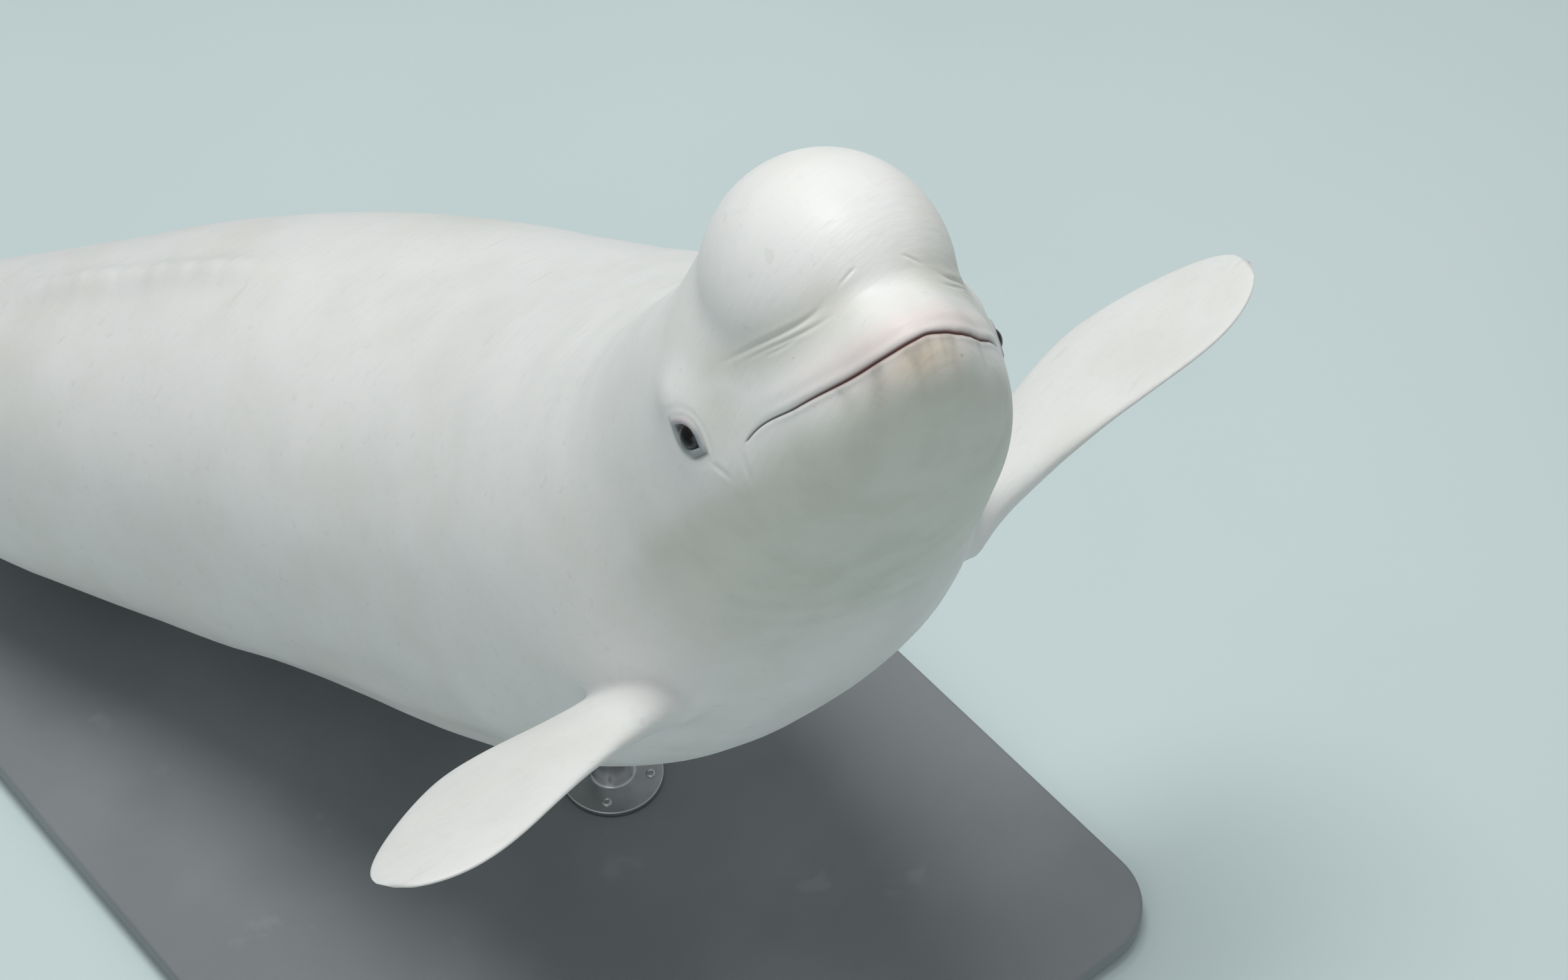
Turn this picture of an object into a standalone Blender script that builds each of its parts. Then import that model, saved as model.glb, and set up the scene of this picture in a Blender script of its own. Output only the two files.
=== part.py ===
"""A beluga whale, life size, as a still museum model on a plain stand: base and two rods.

Metres, +Z up, origin at the centre of the base's underside. The head looks along -Y and up.
The animal is first modelled straight, in body coordinates (x, s, z): x to its left, s back from
the tip of the snout and z up its back. It is parted there, and each part is then bent to the pose.
"""

import math

import bmesh
import bpy
import numpy as np
from mathutils import Matrix, Vector

# Gap between parts that touch, and the width of the cuts that part the body
GAP = 0.00035
CUT = 0.00045

# Body sections, from the snout to the end of the tail stock:
# distance from the snout tip, half-width, top and bottom
SECTIONS = np.array([
    (0.00, 0.000, -0.036, -0.036),
    (0.02, 0.052, 0.018, -0.088),
    (0.06, 0.084, 0.046, -0.118),
    (0.12, 0.126, 0.072, -0.150),
    (0.20, 0.163, 0.112, -0.183),
    (0.32, 0.209, 0.200, -0.217),
    (0.45, 0.235, 0.220, -0.240),
    (0.62, 0.272, 0.238, -0.275),
    (0.80, 0.322, 0.285, -0.325),
    (1.00, 0.355, 0.330, -0.360),
    (1.30, 0.375, 0.360, -0.390),
    (1.60, 0.370, 0.365, -0.385),
    (2.00, 0.325, 0.335, -0.345),
    (2.40, 0.250, 0.270, -0.270),
    (2.80, 0.160, 0.190, -0.180),
    (3.20, 0.085, 0.115, -0.105),
    (3.45, 0.052, 0.068, -0.060),
    (3.70, 0.026, 0.020, -0.020),
])
WIDEST = 0.46          # height of a section's widest point, from bottom to top
SQUARENESS = 2.25      # exponent of a section's superellipse
HEAD_SQUARENESS = 2.45

# The melon, the round forehead that is blended into the head
MELON_CENTRE = np.array((-0.006, 0.228, 0.104))
MELON_RADII = np.array((0.157, 0.184, 0.168))
MELON_BLEND = (0.026, 0.075)

# Rays that carry the mesh to the surface fan out from this station, and are square to the
# body behind it
FAN_STATION = 0.30
CAP_ANGLE = math.radians(38)
TAIL_END = 3.70
SIDES = 10
FAN_RINGS = 11
BODY_RINGS = 36

# Mouth line: its height along the head, and the corner where it ends
MOUTH_LINE = np.array([(0.00, -0.030), (0.06, -0.044), (0.13, -0.045), (0.23, -0.047)])
MOUTH_CORNER = 0.230
JAW_FOOT = (0.38, -0.28)

# Lips, and the groove between them: height, width, and place above the mouth line
UPPER_LIP = (0.0042, 0.013, 0.017)
LOWER_LIP = (0.0036, 0.012, -0.016)
LIP_GROOVE = (-0.0055, 0.0060, 0.0)
LIP_FADE, GROOVE_FADE = 0.120, 0.025

# Eyes, with the mound that carries each and the brow above it: height and width
EYE = np.array((0.218, 0.318, -0.008))
EYE_RADIUS = 0.0195
EYE_DEPTH = 0.0060
EYE_MOUND = (0.007, 0.055)
BROW = np.array((0.215, 0.338, 0.050))
BROW_SIZE = (0.009, 0.036)

# Lids: the almond's half-length and half-width, the fold's own size, and its slant
LID_HALF = (0.0260, 0.0160)
LID_WIDE, LID_HIGH = 0.0078, 0.0055
LID_LIFT = 0.0060
LID_SLANT = math.radians(52)

# Blowhole: a crescent open to the front, and the rim behind it
BLOWHOLE_STATION = 0.385
BLOWHOLE_RADIUS = 0.038
BLOWHOLE_REACH = math.radians(68)
BLOWHOLE_SLIT = (0.008, 0.0065)
BLOWHOLE_RIM = (0.004, 0.010, 0.015)

# Dorsal ridge: where it rises and dies away, and the knobs along it
RIDGE_RISE, RIDGE_FALL = (1.72, 1.92), (2.48, 2.18)
RIDGE_HEIGHT, RIDGE_HALF = 0.024, 0.030
KNOB_PITCH, KNOB_SHARE = 0.11, 0.15

# Folds of skin round the throat
THROAT_FOLDS = (0.53, 0.60)
FOLD_DEPTH, FOLD_HALF, FOLD_BOW = 0.005, 0.013, 0.10
THROAT_HEIGHT, THROAT_REACH = -0.22, 0.10

# Flukes: the stations of the root, the notch and the tips, the lobes' bulge behind them,
# how thick they are at the root and the tips, and how far the tips rise
FLUKE_HALF_SPAN = 0.46
FLUKE_ROOT, FLUKE_NOTCH, FLUKE_TIP = 3.42, 3.745, 3.735
FLUKE_LOBE = 0.10
FLUKE_THICK, FLUKE_EDGE = 0.054, 0.006
FLUKE_RISE = 0.02

# Pose, in degrees, with the stations between which each bend happens
CHEST_PITCH, MID_PITCH, TAIL_PITCH = 60.0, 20.0, 8.0
BACK_BEND = (0.60, 1.70)
TAIL_BEND = (1.50, 3.40)
TAIL_YAW = 30.0
SIDE_BEND = (0.90, 2.20)
HEAD_YAW, HEAD_ROLL = -9.0, 6.0
NECK_BEND = (0.42, 0.95)
CHEST_STATION = 0.90
CHEST_PLACE = np.array((0.13, -0.50, 1.03))

# Where the body is parted, and a surface point of each part, in body coordinates
HEAD_END, NECK_END, FRONT_END, REAR_END, STOCK_END = 0.50, 0.68, 1.60, 2.50, 3.38
PART_POINTS = {
    "head": (0.0, 0.20, 0.25),
    "lower_jaw": (0.0, 0.10, -0.14),
    "neck": (0.0, 0.60, 0.22),
    "torso_front": (0.0, 1.20, 0.35),
    "torso_rear": (0.0, 2.10, 0.32),
    "tail_stock": (0.0, 3.00, 0.15),
    "fluke_left": (0.40, 3.70, 0.0),
    "fluke_right": (-0.40, 3.70, 0.0),
}

# Flippers: root in body coordinates, how far they start inside it, how the span runs in the
# room, and the front edge's pitch
FLIPPER_ROOT = (0.262, 0.825, -0.205)
FLIPPER_LENGTH, FLIPPER_SINK = 0.54, 0.06
FLIPPER_SPAN = {
    "flipper_left": (0.822, -0.129, 0.555),
    "flipper_right": (-0.899, -0.214, 0.381),
}
FLIPPER_WRIST, FLIPPER_CHORD = 0.150, 0.235
FLIPPER_THICK, FLIPPER_EDGE = 0.085, 0.030
FLARE_CHORD, FLARE_THICK, FLARE_REACH = 0.05, 0.045, 0.07
FLIPPER_SWEEP = 0.05
FLIPPER_PITCH = {"flipper_left": 23.0, "flipper_right": 31.0}
FLIPPER_CURL = 0.045

# Stand
BASE_SIZE = (1.30, 2.00, 0.045)
BASE_CORNER, BASE_BEVEL = 0.12, 0.006
ROD_STATIONS = {"stand_rod_front": 1.28, "stand_rod_rear": 2.30}
ROD_RADIUS = {"stand_rod_front": 0.034, "stand_rod_rear": 0.028}
FOOT_RADIUS, FOOT_THICK, FOOT_BEVEL = 0.085, 0.012, 0.002


def smooth(start, end, value):
    t = np.clip((value - start) / (end - start), 0.0, 1.0)
    return t * t * (3.0 - 2.0 * t)


def bump(distance, width):
    return np.exp(-((distance / width) ** 2))


def through(places, values, at):
    """A smooth curve through a profile's points, read against the square root of the distance
    so that the snout is round."""
    u, t = np.sqrt(places), np.sqrt(np.clip(at, 0.0, places[-1]))
    slope = np.gradient(values, u)
    i = np.clip(np.searchsorted(u, t, "right") - 1, 0, len(u) - 2)
    step = u[i + 1] - u[i]
    f = (t - u[i]) / step
    return (
        (1 + 2 * f) * (1 - f) ** 2 * values[i]
        + f * (1 - f) ** 2 * step * slope[i]
        + f * f * (3 - 2 * f) * values[i + 1]
        + f * f * (f - 1) * step * slope[i + 1]
    )


def section(s):
    """Half-width, top, bottom and widest height of the body at station s."""
    half, top, bottom = (through(SECTIONS[:, 0], SECTIONS[:, k], s) for k in (1, 2, 3))
    return half, top, bottom, bottom + WIDEST * (top - bottom)


def body_field(p):
    """Below zero inside the straight body, zero on its skin: its sections and the melon."""
    x, s, z = p[:, 0], p[:, 1], p[:, 2]
    half, top, bottom, widest = section(s)
    rise = np.maximum(np.where(z > widest, top - widest, widest - bottom), 1e-6)
    n = SQUARENESS + (HEAD_SQUARENESS - SQUARENESS) * smooth(0.75, 0.40, s)
    across = np.abs(x) / np.maximum(half, 1e-6)
    reach = (across**n + (np.abs(z - widest) / rise) ** n) ** (1 / n)
    trunk = (reach - 1) * np.minimum(np.maximum(half, 0.04), np.maximum(rise, 0.04))
    trunk = np.where(s < 0, np.maximum(trunk, -s), trunk)
    melon = np.linalg.norm((p - MELON_CENTRE) / MELON_RADII, axis=1) - 1
    melon = melon * MELON_RADII.min()
    blend = MELON_BLEND[0] + (MELON_BLEND[1] - MELON_BLEND[0]) * smooth(0.12, 0.40, s)
    mix = np.clip(0.5 + 0.5 * (trunk - melon) / blend, 0, 1)
    return trunk * (1 - mix) + melon * mix - blend * mix * (1 - mix)


def to_skin(p):
    """Each point, carried along its ray to the body's skin."""
    s = np.maximum(p[:, 1], FAN_STATION)
    start = np.stack([0 * s, s, section(s)[3]], 1)
    way = p - start
    way /= np.linalg.norm(way, axis=1)[:, None]
    inner, outer = np.full(len(p), 1e-4), np.full(len(p), 0.60)
    for _ in range(32):
        middle = (inner + outer) / 2
        inside = body_field(start + way * middle[:, None]) < 0
        inner, outer = np.where(inside, middle, inner), np.where(inside, outer, middle)
    return start + way * inner[:, None]


def outward(p):
    """Unit normals of the plain body at points near its skin."""
    step = 1e-3 * np.eye(3)
    n = np.stack([body_field(p + d) - body_field(p - d) for d in step], 1)
    return n / np.linalg.norm(n, axis=1)[:, None]


def mouth_height(s):
    return through(MOUTH_LINE[:, 0], MOUTH_LINE[:, 1], s)


def mouth_distance(p):
    """Height above the mouth line, and how far each point lies behind the mouth's corner."""
    return p[:, 2] - mouth_height(p[:, 1]), p[:, 1] - MOUTH_CORNER


def eye_place(side):
    """Eye's place on the plain skin, its outward normal, and the way its lids run."""
    at = to_skin(np.array([EYE * (side, 1, 1)]))
    normal = outward(at)[0]
    along = np.array((0.0, -math.cos(LID_SLANT), -math.sin(LID_SLANT)))
    along -= normal * along.dot(normal)
    along /= np.linalg.norm(along)
    return at[0], normal, along


def eye_relief(p, side):
    """The soft mound that carries the eye, and the brow above it."""
    mound = EYE_MOUND[0] * bump(np.linalg.norm(p - eye_place(side)[0], axis=1), EYE_MOUND[1])
    brow = BROW_SIZE[0] * bump(np.linalg.norm(p - BROW * (side, 1, 1), axis=1), BROW_SIZE[1])
    return mound + brow


def blowhole_distance(p):
    """Distance over the crown to the blowhole's crescent."""
    x, s = p[:, 0], p[:, 1] - (BLOWHOLE_STATION - BLOWHOLE_RADIUS)
    turn = np.clip(np.arctan2(x, s), -BLOWHOLE_REACH, BLOWHOLE_REACH)
    away = np.hypot(x - BLOWHOLE_RADIUS * np.sin(turn), s - BLOWHOLE_RADIUS * np.cos(turn))
    return np.where(p[:, 2] > 0, away, 1.0)


def lip_relief(p):
    """Both lips and the groove between them, which die away towards the mouth's corner."""
    above, behind = mouth_distance(p)
    height = 0.0
    for (rise, width, place), fade in (
        (UPPER_LIP, LIP_FADE),
        (LOWER_LIP, LIP_FADE),
        (LIP_GROOVE, GROOVE_FADE),
    ):
        height = height + rise * bump(above - place, width) * smooth(0.0, -fade, behind)
    return height


def ridge_relief(p):
    """The low ridge along the back, with its row of knobs."""
    s = p[:, 1]
    along = smooth(*RIDGE_RISE, s) * smooth(*RIDGE_FALL, s)
    knobs = 1 - KNOB_SHARE + KNOB_SHARE * np.cos(s * 2 * math.pi / KNOB_PITCH)
    return np.where(p[:, 2] > 0, RIDGE_HEIGHT * along * knobs * bump(p[:, 0], RIDGE_HALF), 0)


def relief(p):
    """How far the skin stands out of the plain body at each point of it."""
    height = lip_relief(p) + ridge_relief(p) + eye_relief(p, 1) + eye_relief(p, -1)
    blowhole = blowhole_distance(p)
    height += BLOWHOLE_RIM[0] * bump(blowhole - BLOWHOLE_RIM[2], BLOWHOLE_RIM[1])
    height -= BLOWHOLE_SLIT[0] * bump(blowhole, BLOWHOLE_SLIT[1])
    throat = bump(p[:, 2] - THROAT_HEIGHT, THROAT_REACH)
    for fold in THROAT_FOLDS:
        height -= FOLD_DEPTH * throat * bump(p[:, 1] - fold - FOLD_BOW * p[:, 0] ** 2, FOLD_HALF)
    return height


def spine_table():
    """Stations every centimetre, the spine's place at each, and the body's axes there."""
    s = np.arange(-0.10, 3.95, 0.01)
    neck = 1 - smooth(*NECK_BEND, s)
    pitch = CHEST_PITCH + (MID_PITCH - CHEST_PITCH) * smooth(*BACK_BEND, s)
    pitch = np.radians(pitch + (TAIL_PITCH - MID_PITCH) * smooth(*TAIL_BEND, s))
    yaw = np.radians(HEAD_YAW * neck + TAIL_YAW * smooth(*SIDE_BEND, s))
    roll = np.radians(HEAD_ROLL * neck)
    zero, one = 0 * s, 0 * s + 1
    ahead = np.stack([zero, -np.cos(pitch), np.sin(pitch)], 1)
    up = np.stack([zero, np.sin(pitch), np.cos(pitch)], 1)
    left = np.stack([one, zero, zero], 1)
    cos, sin = np.cos(roll)[:, None], np.sin(roll)[:, None]
    left, up = left * cos - up * sin, up * cos + left * sin
    cos, sin = np.cos(yaw), np.sin(yaw)
    axes = []
    for v in (left, ahead, up):
        turned = (v[:, 0] * cos - v[:, 1] * sin, v[:, 0] * sin + v[:, 1] * cos, v[:, 2])
        axes.append(np.stack(turned, 1))
    back = -(axes[1][1:] + axes[1][:-1]) / 2 * 0.01
    place = np.concatenate([np.zeros((1, 3)), np.cumsum(back, 0)])
    place += CHEST_PLACE - place[np.argmin(np.abs(s - CHEST_STATION))]
    return s, place, axes


SPINE = spine_table()


def to_pose(p):
    """Points of the straight animal, in body coordinates, carried into the room."""
    stations, place, (left, _, up) = SPINE

    def read(values):
        return np.stack([np.interp(p[:, 1], stations, values[:, k]) for k in range(3)], 1)

    return read(place) + p[:, :1] * read(left) + p[:, 2:] * read(up)


def coordinates(mesh):
    return np.array([v.co for v in mesh.verts])


def place_all(mesh, points):
    for vert, point in zip(mesh.verts, points):
        vert.co = point


def square_to_disc(a, b):
    """Radius and angle of a square's point when the square is spread into a disc."""
    flat = np.abs(a) > np.abs(b)
    radius = np.where(flat, a, b)
    ratio = np.divide(np.where(flat, b, a), radius, out=np.zeros_like(a), where=radius != 0)
    turn = np.where(flat, ratio * math.pi / 4, math.pi / 2 - ratio * math.pi / 4)
    return np.abs(radius), turn + np.where(radius < 0, math.pi, 0)


def body_blank():
    """A box with its sides cut into rings, carried to the fan and the stations of the body."""
    mesh = bmesh.new()
    bmesh.ops.create_cube(mesh, size=2)
    for axis, cuts in ((1, FAN_RINGS + BODY_RINGS - 1), (0, SIDES - 1), (2, SIDES - 1)):
        edges = [e for e in mesh.edges if abs((e.verts[0].co - e.verts[1].co)[axis]) > 1e-6]
        bmesh.ops.subdivide_edges(mesh, edges=edges, cuts=cuts, use_grid_fill=True)
    rear = [f for f in mesh.faces if f.normal.y > 0.9]
    bmesh.ops.delete(mesh, geom=rear, context="FACES")
    bmesh.ops.holes_fill(mesh, edges=[e for e in mesh.edges if e.is_boundary], sides=0)
    at = coordinates(mesh)
    radius, turn = square_to_disc(at[:, 0], at[:, 2])
    ring = (at[:, 1] + 1) / 2 * (FAN_RINGS + BODY_RINGS)
    fan = np.clip(ring / FAN_RINGS, 0, 1)
    spread = np.where(ring > 0, CAP_ANGLE + (math.pi / 2 - CAP_ANGLE) * fan, CAP_ANGLE * radius)
    along = np.clip((ring - FAN_RINGS) / BODY_RINGS, 0, 1)
    along = along * (0.5 + 0.5 * along)
    s = FAN_STATION + (TAIL_END - FAN_STATION) * along
    side = 0.1 * np.sin(spread)
    centre = section(np.maximum(s, FAN_STATION))[3]
    points = np.stack(
        [side * np.cos(turn), s - 0.1 * np.cos(spread), centre + side * np.sin(turn)], 1
    )
    place_all(mesh, to_skin(points))
    return mesh


def refine(mesh, mouth, eyes, blowhole, temples):
    """Cut finer the faces within these distances of the mouth, the eyes and the blowhole, and
    those of the valley between the melon and the face."""
    faces = list(mesh.faces)
    p = np.array([f.calc_center_median() for f in faces])
    above, behind = mouth_distance(p)
    near = (np.abs(above) < mouth) & (behind < 0.3 * mouth)
    for side in (1, -1):
        near |= np.linalg.norm(p - eye_place(side)[0], axis=1) < eyes
    near |= blowhole_distance(p) < blowhole
    near |= (np.abs(p[:, 2] - 0.055 - 0.25 * p[:, 1]) < temples) & (p[:, 1] < 0.36)
    edges = {e for f, wanted in zip(faces, near) if wanted for e in f.edges}
    bmesh.ops.subdivide_edges(mesh, edges=list(edges), cuts=1, use_grid_fill=True)
    place_all(mesh, to_skin(coordinates(mesh)))


def body_mesh():
    mesh = body_blank()
    refine(mesh, 0.050, 0.085, 0.050, 0.050)
    refine(mesh, 0.027, 0.045, 0.022, 0.0)
    p = coordinates(mesh)
    place_all(mesh, p + outward(p) * relief(p)[:, None])
    bmesh.ops.triangulate(mesh, faces=mesh.faces)
    bmesh.ops.recalc_face_normals(mesh, faces=mesh.faces)
    return mesh


def blade(stations, turns):
    """A closed blank for a fin: pole to pole is its span, and round it its section.

    It gives the mesh, the span position from 0 to 1, the chord position from 0 at the front
    edge to 1 at the rear edge, and the side of the blade, from -1 to 1.
    """
    mesh = bmesh.new()
    bmesh.ops.create_uvsphere(mesh, u_segments=turns, v_segments=stations, radius=1)
    at = coordinates(mesh)
    turn = np.arctan2(at[:, 1], at[:, 0])
    span = np.arccos(np.clip(at[:, 2], -1, 1)) / math.pi
    return mesh, span, (1 - np.cos(turn)) / 2, np.sin(turn)


def fluke_mesh():
    """Both flukes as one solid in body coordinates, thick at the root and thin at the edges."""
    mesh, span, chord, side = blade(24, 16)
    across = 2 * span - 1
    out = np.abs(across)
    front = FLUKE_ROOT + (FLUKE_TIP - FLUKE_ROOT) * out**1.55
    lobe = FLUKE_LOBE * np.sin(np.pi * out**0.85)
    rear = FLUKE_NOTCH + (FLUKE_TIP - FLUKE_NOTCH) * out**2 + lobe
    tip = np.sqrt(np.clip(1 - out**6, 0, 1))
    s = (front + rear) / 2 + (rear - front) * (chord - 0.5) * tip
    thick = FLUKE_EDGE + (FLUKE_THICK - FLUKE_EDGE) * (1 - smooth(0.0, 0.9, out))
    belly = np.abs(side) ** 0.9 * np.sqrt(1 - 0.85 * chord)
    z = np.sign(side) * thick / 2 * tip * belly + FLUKE_RISE * out**2
    place_all(mesh, np.stack([FLUKE_HALF_SPAN * across, s, z], 1))
    bmesh.ops.triangulate(mesh, faces=mesh.faces)
    bmesh.ops.recalc_face_normals(mesh, faces=mesh.faces)
    return mesh


def flipper_axes(name):
    """Root of a flipper in the room, and the ways of its span, its front edge and its back."""
    left = 1 if name == "flipper_left" else -1
    root = Vector(to_pose(np.array([FLIPPER_ROOT]) * (left, 1, 1))[0])
    run = Vector(FLIPPER_SPAN[name]).normalized()
    level = run.cross(Vector((0, 0, left))).normalized()
    ahead = Matrix.Rotation(-left * math.radians(FLIPPER_PITCH[name]), 3, run) @ level
    return root, run, ahead, run.cross(ahead) * left


def flipper_mesh(name):
    """A broad, rounded paddle in the room's frame, its front edge turned up and its tip curled."""
    mesh, span, chord, side = blade(18, 16)
    flare = np.exp(-np.clip(span - 0.08, 0, 1) / FLARE_REACH)
    width = FLIPPER_WRIST + (FLIPPER_CHORD - FLIPPER_WRIST) * smooth(0.12, 0.62, span)
    width += FLARE_CHORD * flare
    tip = np.sqrt(np.clip(1 - (2 * np.clip(span - 0.5, 0, 1)) ** 3.2, 0, 1))
    heel = np.sqrt(np.clip(1 - (1 - np.clip(span / 0.12, 0, 1)) ** 2, 0, 1))
    thick = FLIPPER_EDGE + (FLIPPER_THICK - FLIPPER_EDGE) * (1 - smooth(0.05, 0.75, span))
    thick = (thick + FLARE_THICK * flare) * tip * heel
    sweep = -FLIPPER_SWEEP * (span**1.5 - 0.6 * smooth(0.5, 1.0, span))
    fore = sweep + width * tip * heel * (0.45 - chord)
    lift = side * thick / 2 * np.sqrt(1 - 0.80 * chord)
    lift += FLIPPER_CURL * smooth(0.35, 1.0, span) ** 1.3
    root, *ways = (np.array(v) for v in flipper_axes(name))
    reach = span * (FLIPPER_LENGTH + FLIPPER_SINK) - FLIPPER_SINK
    local = np.stack([reach, fore, lift], 1)
    place_all(mesh, root + local @ np.array(ways))
    bmesh.ops.triangulate(mesh, faces=mesh.faces)
    bmesh.ops.recalc_face_normals(mesh, faces=mesh.faces)
    return mesh


def clear_scene():
    for thing in list(bpy.data.objects):
        bpy.data.objects.remove(thing)
    for name in ("beluga_whale", "cutters"):
        bpy.context.scene.collection.children.link(bpy.data.collections.new(name))


def material(name, colour, roughness, metallic=0.0):
    made = bpy.data.materials.new(name)
    made.use_nodes = True
    shader = made.node_tree.nodes["Principled BSDF"]
    shader.inputs["Base Color"].default_value = (*colour, 1.0)
    shader.inputs["Roughness"].default_value = roughness
    shader.inputs["Metallic"].default_value = metallic
    return made


def add(name, mesh, collection="beluga_whale", finish=None):
    """An object in the scene from a bmesh, which it frees."""
    data = bpy.data.meshes.new(name)
    mesh.to_mesh(data)
    mesh.free()
    made = bpy.data.objects.new(name, data)
    bpy.data.collections[collection].objects.link(made)
    if finish is not None:
        data.materials.append(finish)
    if collection == "cutters":
        made.hide_render = True
        made.display_type = "WIRE"
    return made


def boolean(target, other, operation):
    modifier = target.modifiers.new(f"{operation.lower()} {other.name}", "BOOLEAN")
    modifier.operation = operation
    modifier.object = other


def apply_all(target):
    """The object's evaluated mesh as a bmesh; the object and its modifiers are removed."""
    graph = bpy.context.evaluated_depsgraph_get()
    data = bpy.data.meshes.new_from_object(target.evaluated_get(graph))
    mesh = bmesh.new()
    mesh.from_mesh(data)
    bpy.data.objects.remove(target)
    bpy.data.meshes.remove(data)
    return mesh


def islands(mesh):
    """Lists of the vertices that hang together."""
    left, found = set(mesh.verts), []
    while left:
        island, edge = set(), [left.pop()]
        while edge:
            vert = edge.pop()
            island.add(vert)
            near = {e.other_vert(vert) for e in vert.link_edges} - island
            edge.extend(near & left)
            left -= near
        found.append(island)
    return found


def box_cutter(name, low, high):
    mesh = bmesh.new()
    bmesh.ops.create_cube(mesh, size=1)
    low, high = Vector(low), Vector(high)
    bmesh.ops.scale(mesh, vec=high - low, verts=mesh.verts)
    bmesh.ops.translate(mesh, vec=(low + high) / 2, verts=mesh.verts)
    return add(name, mesh, "cutters")


def jaw_cutter():
    """A thin sheet that follows the mouth line and then runs down and back to the throat."""
    mouth = np.linspace(-0.03, MOUTH_CORNER, 12)
    path = [(s, float(mouth_height(np.array([s]))[0])) for s in mouth] + [JAW_FOOT]
    mesh = bmesh.new()
    bmesh.ops.create_grid(mesh, x_segments=1, y_segments=len(path) - 1, size=1)
    for vert in mesh.verts:
        s, z = path[round((vert.co.y + 1) / 2 * (len(path) - 1))]
        vert.co = (vert.co.x * 0.35, s, z)
    made = add("jaw_cut", mesh, "cutters")
    sheet = made.modifiers.new("thin sheet", "SOLIDIFY")
    sheet.thickness = CUT
    sheet.offset = 0
    return made


def at_eye(side, depth):
    """Matrix that puts Z along the eye's outward normal and X along its lids."""
    at, normal, along = eye_place(side)
    across = np.cross(normal, along)
    turn = Matrix(np.stack([along, across, normal], 1).tolist()).to_4x4()
    return Matrix.Translation(Vector(at - normal * depth)) @ turn


def eye_ball(name, side, extra, collection, finish=None):
    mesh = bmesh.new()
    bmesh.ops.create_uvsphere(mesh, u_segments=16, v_segments=10, radius=EYE_RADIUS + extra)
    bmesh.ops.transform(mesh, matrix=at_eye(side, EYE_DEPTH), verts=mesh.verts)
    bmesh.ops.triangulate(mesh, faces=mesh.faces)
    if finish is not None:
        place_all(mesh, to_pose(coordinates(mesh)))
    return add(name, mesh, collection, finish)


def lids(name, side):
    """A ring of skin round the eye, an almond in outline, with the upper lid the wider."""
    bpy.ops.mesh.primitive_torus_add(
        major_segments=30, minor_segments=8, major_radius=1.0, minor_radius=0.25
    )
    blank = bpy.context.object
    mesh = bmesh.new()
    mesh.from_mesh(blank.data)
    bpy.data.objects.remove(blank)
    p = coordinates(mesh)
    turn = np.arctan2(p[:, 1], p[:, 0])
    out, rise = (np.hypot(p[:, 0], p[:, 1]) - 1) / 0.25, p[:, 2] / 0.25
    upper = 0.5 - 0.5 * side * np.sin(turn)
    wide = LID_WIDE * (0.75 + 0.50 * upper)
    almond = 1 + 0.13 * np.cos(turn) ** 4
    x = np.cos(turn) * (LID_HALF[0] * almond + wide * out)
    y = np.sin(turn) * (LID_HALF[1] + wide * out)
    place_all(mesh, np.stack([x, y, LID_HIGH * rise * (0.8 + 0.4 * upper)], 1))
    bmesh.ops.transform(mesh, matrix=at_eye(side, -LID_LIFT), verts=mesh.verts)
    bmesh.ops.triangulate(mesh, faces=mesh.faces)
    return add(name, mesh, "cutters")


def make_body(skin):
    """The whole animal but its flippers and eyes, parted by thin cuts and bent to the pose."""
    whole = add("whole", body_mesh(), "cutters")
    boolean(whole, add("flukes", fluke_mesh(), "cutters"), "UNION")
    for name, side in (("left_lids", 1), ("right_lids", -1)):
        boolean(whole, lids(name, side), "UNION")
    for name, s in (
        ("head_cut", HEAD_END),
        ("neck_cut", NECK_END),
        ("front_cut", FRONT_END),
        ("rear_cut", REAR_END),
        ("stock_cut", STOCK_END),
    ):
        cutter = box_cutter(name, (-0.5, s - CUT / 2, -0.6), (0.5, s + CUT / 2, 0.6))
        boolean(whole, cutter, "DIFFERENCE")
    middle = box_cutter("fluke_cut", (-CUT / 2, STOCK_END, -0.3), (CUT / 2, 4.0, 0.3))
    boolean(whole, middle, "DIFFERENCE")
    boolean(whole, jaw_cutter(), "DIFFERENCE")
    for side, name in ((1, "left_socket"), (-1, "right_socket")):
        boolean(whole, eye_ball(name, side, GAP, "cutters"), "DIFFERENCE")
    mesh = apply_all(whole)
    bmesh.ops.triangulate(mesh, faces=mesh.faces)
    straight = coordinates(mesh)
    place_all(mesh, to_pose(straight))
    mesh.verts.index_update()
    mesh.verts.ensure_lookup_table()
    parts = islands(mesh)
    for name, point in PART_POINTS.items():
        nearest = int(np.argmin(np.linalg.norm(straight - np.array(point), axis=1)))
        part = next(p for p in parts if mesh.verts[nearest] in p)
        kept = {v.index for v in part}
        piece = mesh.copy()
        others = [v for v in piece.verts if v.index not in kept]
        bmesh.ops.delete(piece, geom=others, context="VERTS")
        add(name, piece, finish=skin)
    mesh.free()


def grown_body():
    """The whole posed body, a gap larger all round, to cut what meets it."""
    mesh = body_mesh()
    place_all(mesh, to_pose(coordinates(mesh)))
    mesh.normal_update()
    for vert in mesh.verts:
        vert.co += vert.normal * GAP
    return add("grown_body", mesh, "cutters")


def cut_to_body(name, mesh, body, finish):
    """A piece that ends at the body's skin: what is left of it outside the body."""
    blank = add(name + "_blank", mesh, "cutters")
    boolean(blank, body, "DIFFERENCE")
    made = apply_all(blank)
    largest = max(islands(made), key=len)
    bmesh.ops.delete(made, geom=[v for v in made.verts if v not in largest], context="VERTS")
    bmesh.ops.triangulate(made, faces=made.faces)
    return add(name, made, finish=finish)


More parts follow.
